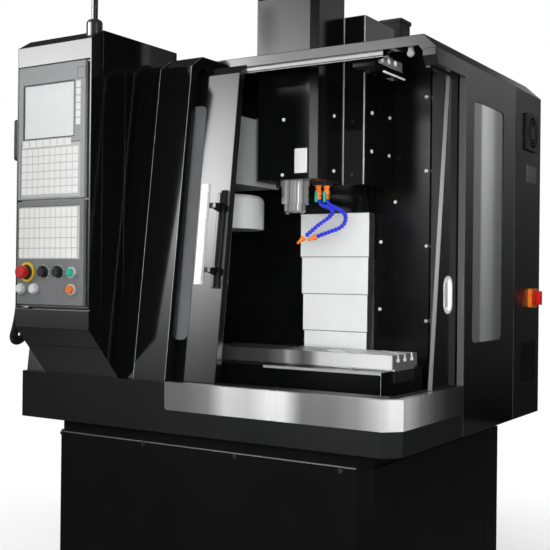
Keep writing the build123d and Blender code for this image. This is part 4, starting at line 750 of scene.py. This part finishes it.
def lampStack(name, look):
    material, tree, shader, place = startFinish(name)
    grain = placeEffect(tree, place, "moulded", {"Grain Scale": look["grainScale"]})
    height = axesOf(tree, place)["Z"]
    low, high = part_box("signal_tower")
    starts = [low.z + share * (high.z - low.z) for share, tone in look["lamps"]]
    colour = look["pole"]
    for start, (share, tone) in zip(starts, look["lamps"]):
        colour = mixColour(tree, math2(tree, "GREATER_THAN", height, start), colour, tone)
    dress(tree, shader, colour, grain["Cloud"], look["rough"])
    setSockets(shader, {"Metallic": math2(tree, "LESS_THAN", height, starts[0])})
    raiseBump(tree, shader, grain["Height"], look["grain"], look["grainDepth"])
    return material


towerStack = lampStack("towerStack", towerLamps)

finishedNodes = [
    (lacquer, "enclosure_shell front_door control_frame control_cabinet"), (roofLacquer, "roof_hood"),
    (cheekLacquer, "front_cheek_panel"), (flangeLacquer, "right_side_panel"), (leafLacquer, "side_door"),
    (headLacquer, "head_casting"), (coverGloss, "head_cover"), (standBlack, "base_cabinet"),
    (lippedBlack, "base_front_cover"), (panBlack, "chip_pan"), (saddleBlack, "saddle"),
    (wallBlack, "back_wall"), (satinBlack, "rear_side_panel"), (trimSteel, "sill_trim"),
    (tableSteel, "table"), (handleSilver, "handle_bar"), (groundSteel, "x_screw y_screw z_screw"),
    (chrome, "spindle_cartridge spindle_nose"), (castGrey, "bed_casting column"),
    (changerPale, "magazine_cover"), (drumPale, "tool_drum"), (pullPale, "side_door_pull"),
    (sidePane, "side_window"), (smokedPane, "front_door_window"), (displayPlate, "display_bezel"),
    (operatorPlate, "operator_panel"), (screenPale, "display_screen"), (cordRubber, "pendant_cord"),
    (blackPlastic, "fan_guard fan_rotor x_motor axis_motors feed_knob speed_knob"),
    (blackPlastic, "pendant_body pendant_wheel cord_gland"), (towerStack, "signal_tower"),
    (redPlastic, "main_switch_handle estop_button"), (orangePlastic, "switch_plate hold_button"),
    (greenPlastic, "coolant_lever_left coolant_lever_right start_button"), (bluePlastic, "coolant_hoses"),
    (whitePlastic, "power_on_button power_off_button work_light")]
coverNodes = ("z_cover_top", "z_cover_upper", "z_cover_lower", "z_cover_base")
finishedNodes += [(coverFinish(index), cover) for index, cover in enumerate(coverNodes)]
nodeFinish = {nodeName: finish for finish, names in finishedNodes for nodeName in names.split()}
for nodeName, node in nodes.items():
    node.data.materials.clear()
    node.data.materials.append(nodeFinish[nodeName])
print("solids finished")


# small pieces: turned shapes, bevelled blocks and what repeats
def closeMesh(name, shape, sharp=35):
    bmesh.ops.recalc_face_normals(shape, faces=shape.faces)
    for face in shape.faces:
        face.smooth = True
    mesh = bpy.data.meshes.new(name)
    shape.to_mesh(mesh)
    shape.free()
    mesh.set_sharp_from_angle(angle=math.radians(sharp))
    return mesh


def turnedMesh(name, profile, segments=20, unit=0.001):
    shape = bmesh.new()
    turns = [2 * math.pi * index / segments for index in range(segments)]
    rings = []
    for radius, height in profile:
        if radius == 0:
            rings.append([shape.verts.new((0, 0, height * unit))])
            continue
        reach = radius * unit
        rings.append([shape.verts.new((reach * math.cos(turn), reach * math.sin(turn), height * unit))
                      for turn in turns])
    for lower, upper in zip(rings, rings[1:]):
        for i in range(segments):
            j = (i + 1) % segments
            corners = [lower[i % len(lower)], lower[j % len(lower)],
                       upper[j % len(upper)], upper[i % len(upper)]]
            shape.faces.new(list(dict.fromkeys(corners)))
    return closeMesh(name, shape)


def facing(direction):
    return Vector(direction).to_track_quat("Z", "Y")


def addBlock(shape, lefts, backs, ups, edge):
    first, second = spot(lefts[0], backs[0], ups[0]), spot(lefts[1], backs[1], ups[1])
    size = second - first
    stretch = Matrix.Diagonal((abs(size.x), abs(size.y), abs(size.z), 1))
    where = Matrix.Translation((first + second) / 2) @ stretch
    made = bmesh.ops.create_cube(shape, size=1.0, matrix=where)
    edges = list({side for vert in made["verts"] for side in vert.link_edges})
    bmesh.ops.bevel(shape, geom=edges, offset=edge / 1000, segments=2, profile=0.6, affect="EDGES",
                    clamp_overlap=True)


def addTurned(shape, profile, point, heading, segments=20):
    mesh = turnedMesh("turned", profile, segments)
    mesh.transform(Matrix.Translation(point) @ facing(heading).to_matrix().to_4x4())
    shape.from_mesh(mesh)
    bpy.data.meshes.remove(mesh)


def placePiece(name, mesh, finish, body, replaced=()):
    piece = addObject(name, mesh)
    mesh.materials.clear()
    mesh.materials.append(finish)
    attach(piece, body)
    if replaced:
        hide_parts(*replaced)
    return piece


def placeShape(name, blocks, finish, body, turned=(), replaced=()):
    shape = bmesh.new()
    for block in blocks:
        addBlock(shape, *block)
    for profile, place, heading in turned:
        addTurned(shape, profile, spot(*place), heading)
    return placePiece(name, closeMesh(name, shape), finish, body, replaced)


def repeatTree():
    tree = bpy.data.node_groups.new("repeatPiece", "GeometryNodeTree")
    for key, kind in (("Places", "Geometry"), ("Shape", "Object"), ("Finish", "Material")):
        tree.interface.new_socket(key, in_out="INPUT", socket_type="NodeSocket" + kind)
    tree.interface.new_socket("Repeated", in_out="OUTPUT", socket_type="NodeSocketGeometry")
    source, result = tree.nodes.new("NodeGroupInput").outputs, tree.nodes.new("NodeGroupOutput")
    model = addNode(tree, "ObjectInfo", sockets={"Object": source["Shape"]})
    turn = addNode(tree, "InputNamedAttribute", {"data_type": "QUATERNION"}, {"Name": "turn"})
    size = addNode(tree, "InputNamedAttribute", {"data_type": "FLOAT"}, {"Name": "size"})
    stamp = addNode(tree, "InstanceOnPoints", sockets={
        "Points": source["Places"], "Instance": model.outputs["Geometry"],
        "Rotation": turn.outputs["Attribute"], "Scale": size.outputs["Attribute"]})
    whole = addNode(tree, "RealizeInstances", sockets={"Geometry": stamp.outputs["Instances"]})
    coat = addNode(tree, "SetMaterial", sockets={
        "Geometry": whole.outputs["Geometry"], "Material": source["Finish"]})
    setSockets(result, {"Repeated": coat.outputs["Geometry"]})
    return tree


repeatNodes = repeatTree()


def repeatPiece(name, model, places, finish, body, replaced=()):
    points = bpy.data.meshes.new(name + "Places")
    points.from_pydata([tuple(point) for point, turn, size in places], [], [])
    for key, kind in (("turn", "QUATERNION"), ("size", "FLOAT")):
        points.attributes.new(key, kind, "POINT")
    turns, sizes = points.attributes["turn"], points.attributes["size"]  # read after both exist
    for index, (point, turn, size) in enumerate(places):
        turns.data[index].value = tuple(turn)
        sizes.data[index].value = size
    shape = bpy.data.objects.new(name + "Shape", model)
    holder = addObject(name + "Holder", points)
    stamp = holder.modifiers.new("repeat", "NODES")
    stamp.node_group = repeatNodes
    given = {"Shape": shape, "Finish": finish}
    for socket in repeatNodes.interface.items_tree:
        if socket.in_out == "INPUT" and socket.name in given:
            stamp[socket.identifier] = given[socket.name]
    mesh = bpy.data.meshes.new_from_object(holder.evaluated_get(bpy.context.evaluated_depsgraph_get()))
    holder.modifiers.remove(stamp)
    bpy.data.objects.remove(holder)
    bpy.data.objects.remove(shape)
    mesh.name = name
    return placePiece(name, mesh, finish, body, replaced)


# button-head screws on the stand's cover, the splash wall and the spindle head; radius in mm
towardsFront, towardsRight = (0, -1, 0), (1, 0, 0)
screwHead = {"segments": 16, "profile": [(0, 0), (1, 0), (1, 0.28), (0.93, 0.5), (0.74, 0.64), (0.46, 0.68),
                                         (0.42, 0.38), (0, 0.36)]}
screwRows = {
    "stand": {"radius": 7.5, "heading": towardsFront, "places": [
        (1225.7, 42, -49.3), (880.5, 42, -50.4), (534.6, 42, -52.8), (185.9, 42, -54.9)]},
    "wall": {"radius": 6.5, "heading": towardsFront, "places": [
        (280.7, 805, 1093.6), (278, 805, 839.5), (394, 805, 736.8), (448.5, 805, 597.7), (275, 805, 582.3),
        (449.6, 805, 361.7), (274, 805, 325.4)]},
    "headFront": {"radius": 6.0, "heading": towardsFront, "places": [(597, 390, 981), (600, 390, 802)]},
    "headCover": {"radius": 6.0, "heading": towardsRight, "places": [
        (481, 514.6, 1002.6), (481, 515.2, 821.5)]},
    "headSide": {"radius": 6.5, "heading": towardsRight, "places": [
        (402, 633.5, 1023.4), (402, 633.6, 894.4), (402, 767.7, 1025.6), (402, 766.2, 893.8)]},
    "headPlate": {"radius": 2.6, "heading": towardsFront, "places": [
        (551, 388.8, 881), (512, 388.8, 881), (551, 388.8, 810), (512, 388.8, 810)]}}


def fitScrews(name, rowNames, finish, body):
    places = []
    for row in (screwRows[rowName] for rowName in rowNames):
        places += [(spot(*place), facing(row["heading"]), row["radius"]) for place in row["places"]]
    model = turnedMesh("screwHead", screwHead["profile"], screwHead["segments"])
    repeatPiece(name, model, places, finish, body)


fitScrews("standScrews", ["stand"], screwDark, "machine")
fitScrews("wallScrews", ["wall"], screwSteel, "machine")
fitScrews("headScrews", ["headFront", "headCover", "headSide", "headPlate"], screwSteel, "head")

# two segmented coolant lines on their valve block
coolantLines = {
    "routes": [
        [(549, 536, 732), (543, 536, 716), (515, 532, 706), (492, 527, 698), (485, 520, 684), (494, 507, 666),
         (521, 485, 643), (556, 452, 599)],
        [(529, 556, 732), (523, 556, 717), (500, 555, 707), (470, 550, 694), (446, 540, 676), (440, 523, 650),
         (451, 506, 632), (475, 485, 621), (513, 456, 602)]],
    "pitch": 12.0, "linkSegments": 14, "valves": [(549, 536), (529, 556)], "valveFoot": 732,
    "valveSegments": 12, "stemHeight": 755, "blockUps": (778, 787.2), "blockMargin": 16, "blockEdge": 1.5,
    "link": [(0, 0), (4.0, 0), (4.4, 1.0), (6.9, 3.2), (7.5, 6.0), (6.9, 8.8), (4.4, 11.2), (4.0, 12.6),
             (0, 12.6)],
    "nozzle": [(0, -3), (9.0, -3), (9.4, 1), (8.6, 5), (6.2, 12), (4.6, 24), (4.2, 27), (2.6, 27), (2.4, 20),
               (0, 20)],
    "body": [(0, 0), (9.5, 0), (10.2, 2), (10.2, 9), (8.2, 11), (8.2, 15), (11.5, 16), (11.5, 30), (8.2, 31),
             (8.2, 36), (10.4, 37), (10.4, 46), (0, 46)],
    "stem": [(0, 0), (5.0, 0), (5.0, 12.6), (0, 12.6)]}


def plumbCoolant(settings):
    links, fittings = [], bmesh.new()
    for route in settings["routes"]:
        line = readLine(smoothLine("coolantRoute", [spot(*point) for point in route]))
        stations, total = walkLine(line, settings["pitch"] / 1000)
        links += [(point, facing(along), 1.0) for point, along in stations[:-1]]
        tip, heading = line[-1], (line[-1] - line[-2]).normalized()
        addTurned(fittings, settings["nozzle"], tip, heading)
    segments = settings["valveSegments"]
    for left, back in settings["valves"]:
        foot, stem = spot(left, back, settings["valveFoot"]), spot(left, back, settings["stemHeight"])
        addTurned(fittings, settings["body"], foot, (0, 0, 1), segments)
        addTurned(fittings, settings["stem"], stem, towardsFront, segments)
    model = turnedMesh("coolantLink", settings["link"], settings["linkSegments"])
    repeatPiece("coolantLinks", model, links, bluePlastic, "head", ("coolant_hoses",))
    mesh = closeMesh("coolantFittings", fittings)
    placePiece("coolantFittings", mesh, orangePlastic, "head")
    lefts, backs = zip(*settings["valves"])
    margin = settings["blockMargin"]
    block = ((max(lefts) + margin, min(lefts) - margin), (min(backs) - margin, max(backs) + margin),
             settings["blockUps"], settings["blockEdge"])
    placeShape("coolantBlock", [block], blackPlastic, "head")


plumbCoolant(coolantLines)
print("coolant lines linked")

# bare plates, the chin latch and the door stop; each block gives left, back, up and its edge in mm
smallParts = {
    "headPlate": ((555, 508), (388.8, 390.2), (806, 885), 0.5),
    "rearPlate": ((0.2, -1.4), (1021.7, 1128.6), (809, 869), 0.5),
    "latch": ((1227, 1201), (-138.5, -134.6), (364.6, 370.4), 0.8),
    "stop": (97, 279, 1119), "stopTab": ((104, 90), (270, 282), (1126, 1133.4), 1.0),
    "stopShape": [(0, 0), (11, 0), (11.6, 2), (11.2, 6), (9.4, 8.6), (6.4, 9.2), (4.8, 6.4), (0, 6.2)]}
placeShape("headPlate", [smallParts["headPlate"]], platePale, "head")
placeShape("rearPlate", [smallParts["rearPlate"]], plateDull, "machine")
placeShape("chinLatch", [smallParts["latch"]], stainless, "machine")
placeShape("doorStop", [smallParts["stopTab"]], lampGrey, "machine",
           turned=[(smallParts["stopShape"], smallParts["stop"], towardsFront)])

# work lamp under the roof: a housing with a lit panel, three lenses and a guard bar
workLamp = {
    "housing": [((300, 221.5), (300, 495), (1103, 1149), 3.0), ((270, 250), (387, 408), (1147, 1161), 1.0),
                ((224, 220), (372, 380), (1094, 1105), 0.6), ((224, 220), (470, 478), (1094, 1105), 0.6)],
    "panel": ((222.5, 220), (316, 480), (1112, 1141), 0.5),
    "bar": ((224, 218), (352, 500), (1091, 1096), 1.2),
    "lens": [(0, 0), (8.5, 0), (8.5, 1.4), (6.6, 2.8), (3, 3.6), (0, 3.8)],
    "lenses": [(220.4, 340, 1127), (220.4, 385, 1129), (220.4, 430, 1131)]}
placeShape("workLamp", workLamp["housing"], satinBlack, "machine", replaced=("work_light",))
placeShape("workLampPanel", [workLamp["panel"]], lampGrey, "machine")
placeShape("workLampLenses", [workLamp["bar"]], lampGlow, "machine",
           turned=[(workLamp["lens"], place, towardsRight) for place in workLamp["lenses"]])

# white ticks round the two override knobs
knobTicks = {"centres": [controlCentres["feed"], controlCentres["speed"]], "radius": 22.5, "count": 9,
             "sweep": 270, "size": (1.3, 4.4, 0.5), "flare": 1.5, "face": -135.1}


def printTicks(settings):
    bar = bmesh.new()
    size = [value / 1000 for value in settings["size"]]
    bmesh.ops.create_cube(bar, size=1.0, matrix=Matrix.Diagonal((*size, 1)))
    for vert in bar.verts:
        if vert.co.y > 0:
            vert.co.x *= settings["flare"]  # wider at the outer end
    model = closeMesh("tick", bar)
    out, places = Vector(towardsFront), []
    for left, up in settings["centres"]:
        for index in range(settings["count"]):
            angle = math.radians(settings["sweep"] * (index / (settings["count"] - 1) - 0.5))
            radial = Vector((math.sin(angle), 0, math.cos(angle)))
            turn = Matrix((radial.cross(out), radial, out)).transposed().to_quaternion()
            places.append((spot(left, settings["face"], up) + radial * settings["radius"] / 1000, turn, 1.0))
    repeatPiece("knobTicks", model, places, whitePlastic, "machine")


printTicks(knobTicks)
print("small pieces placed")

print("scene done")
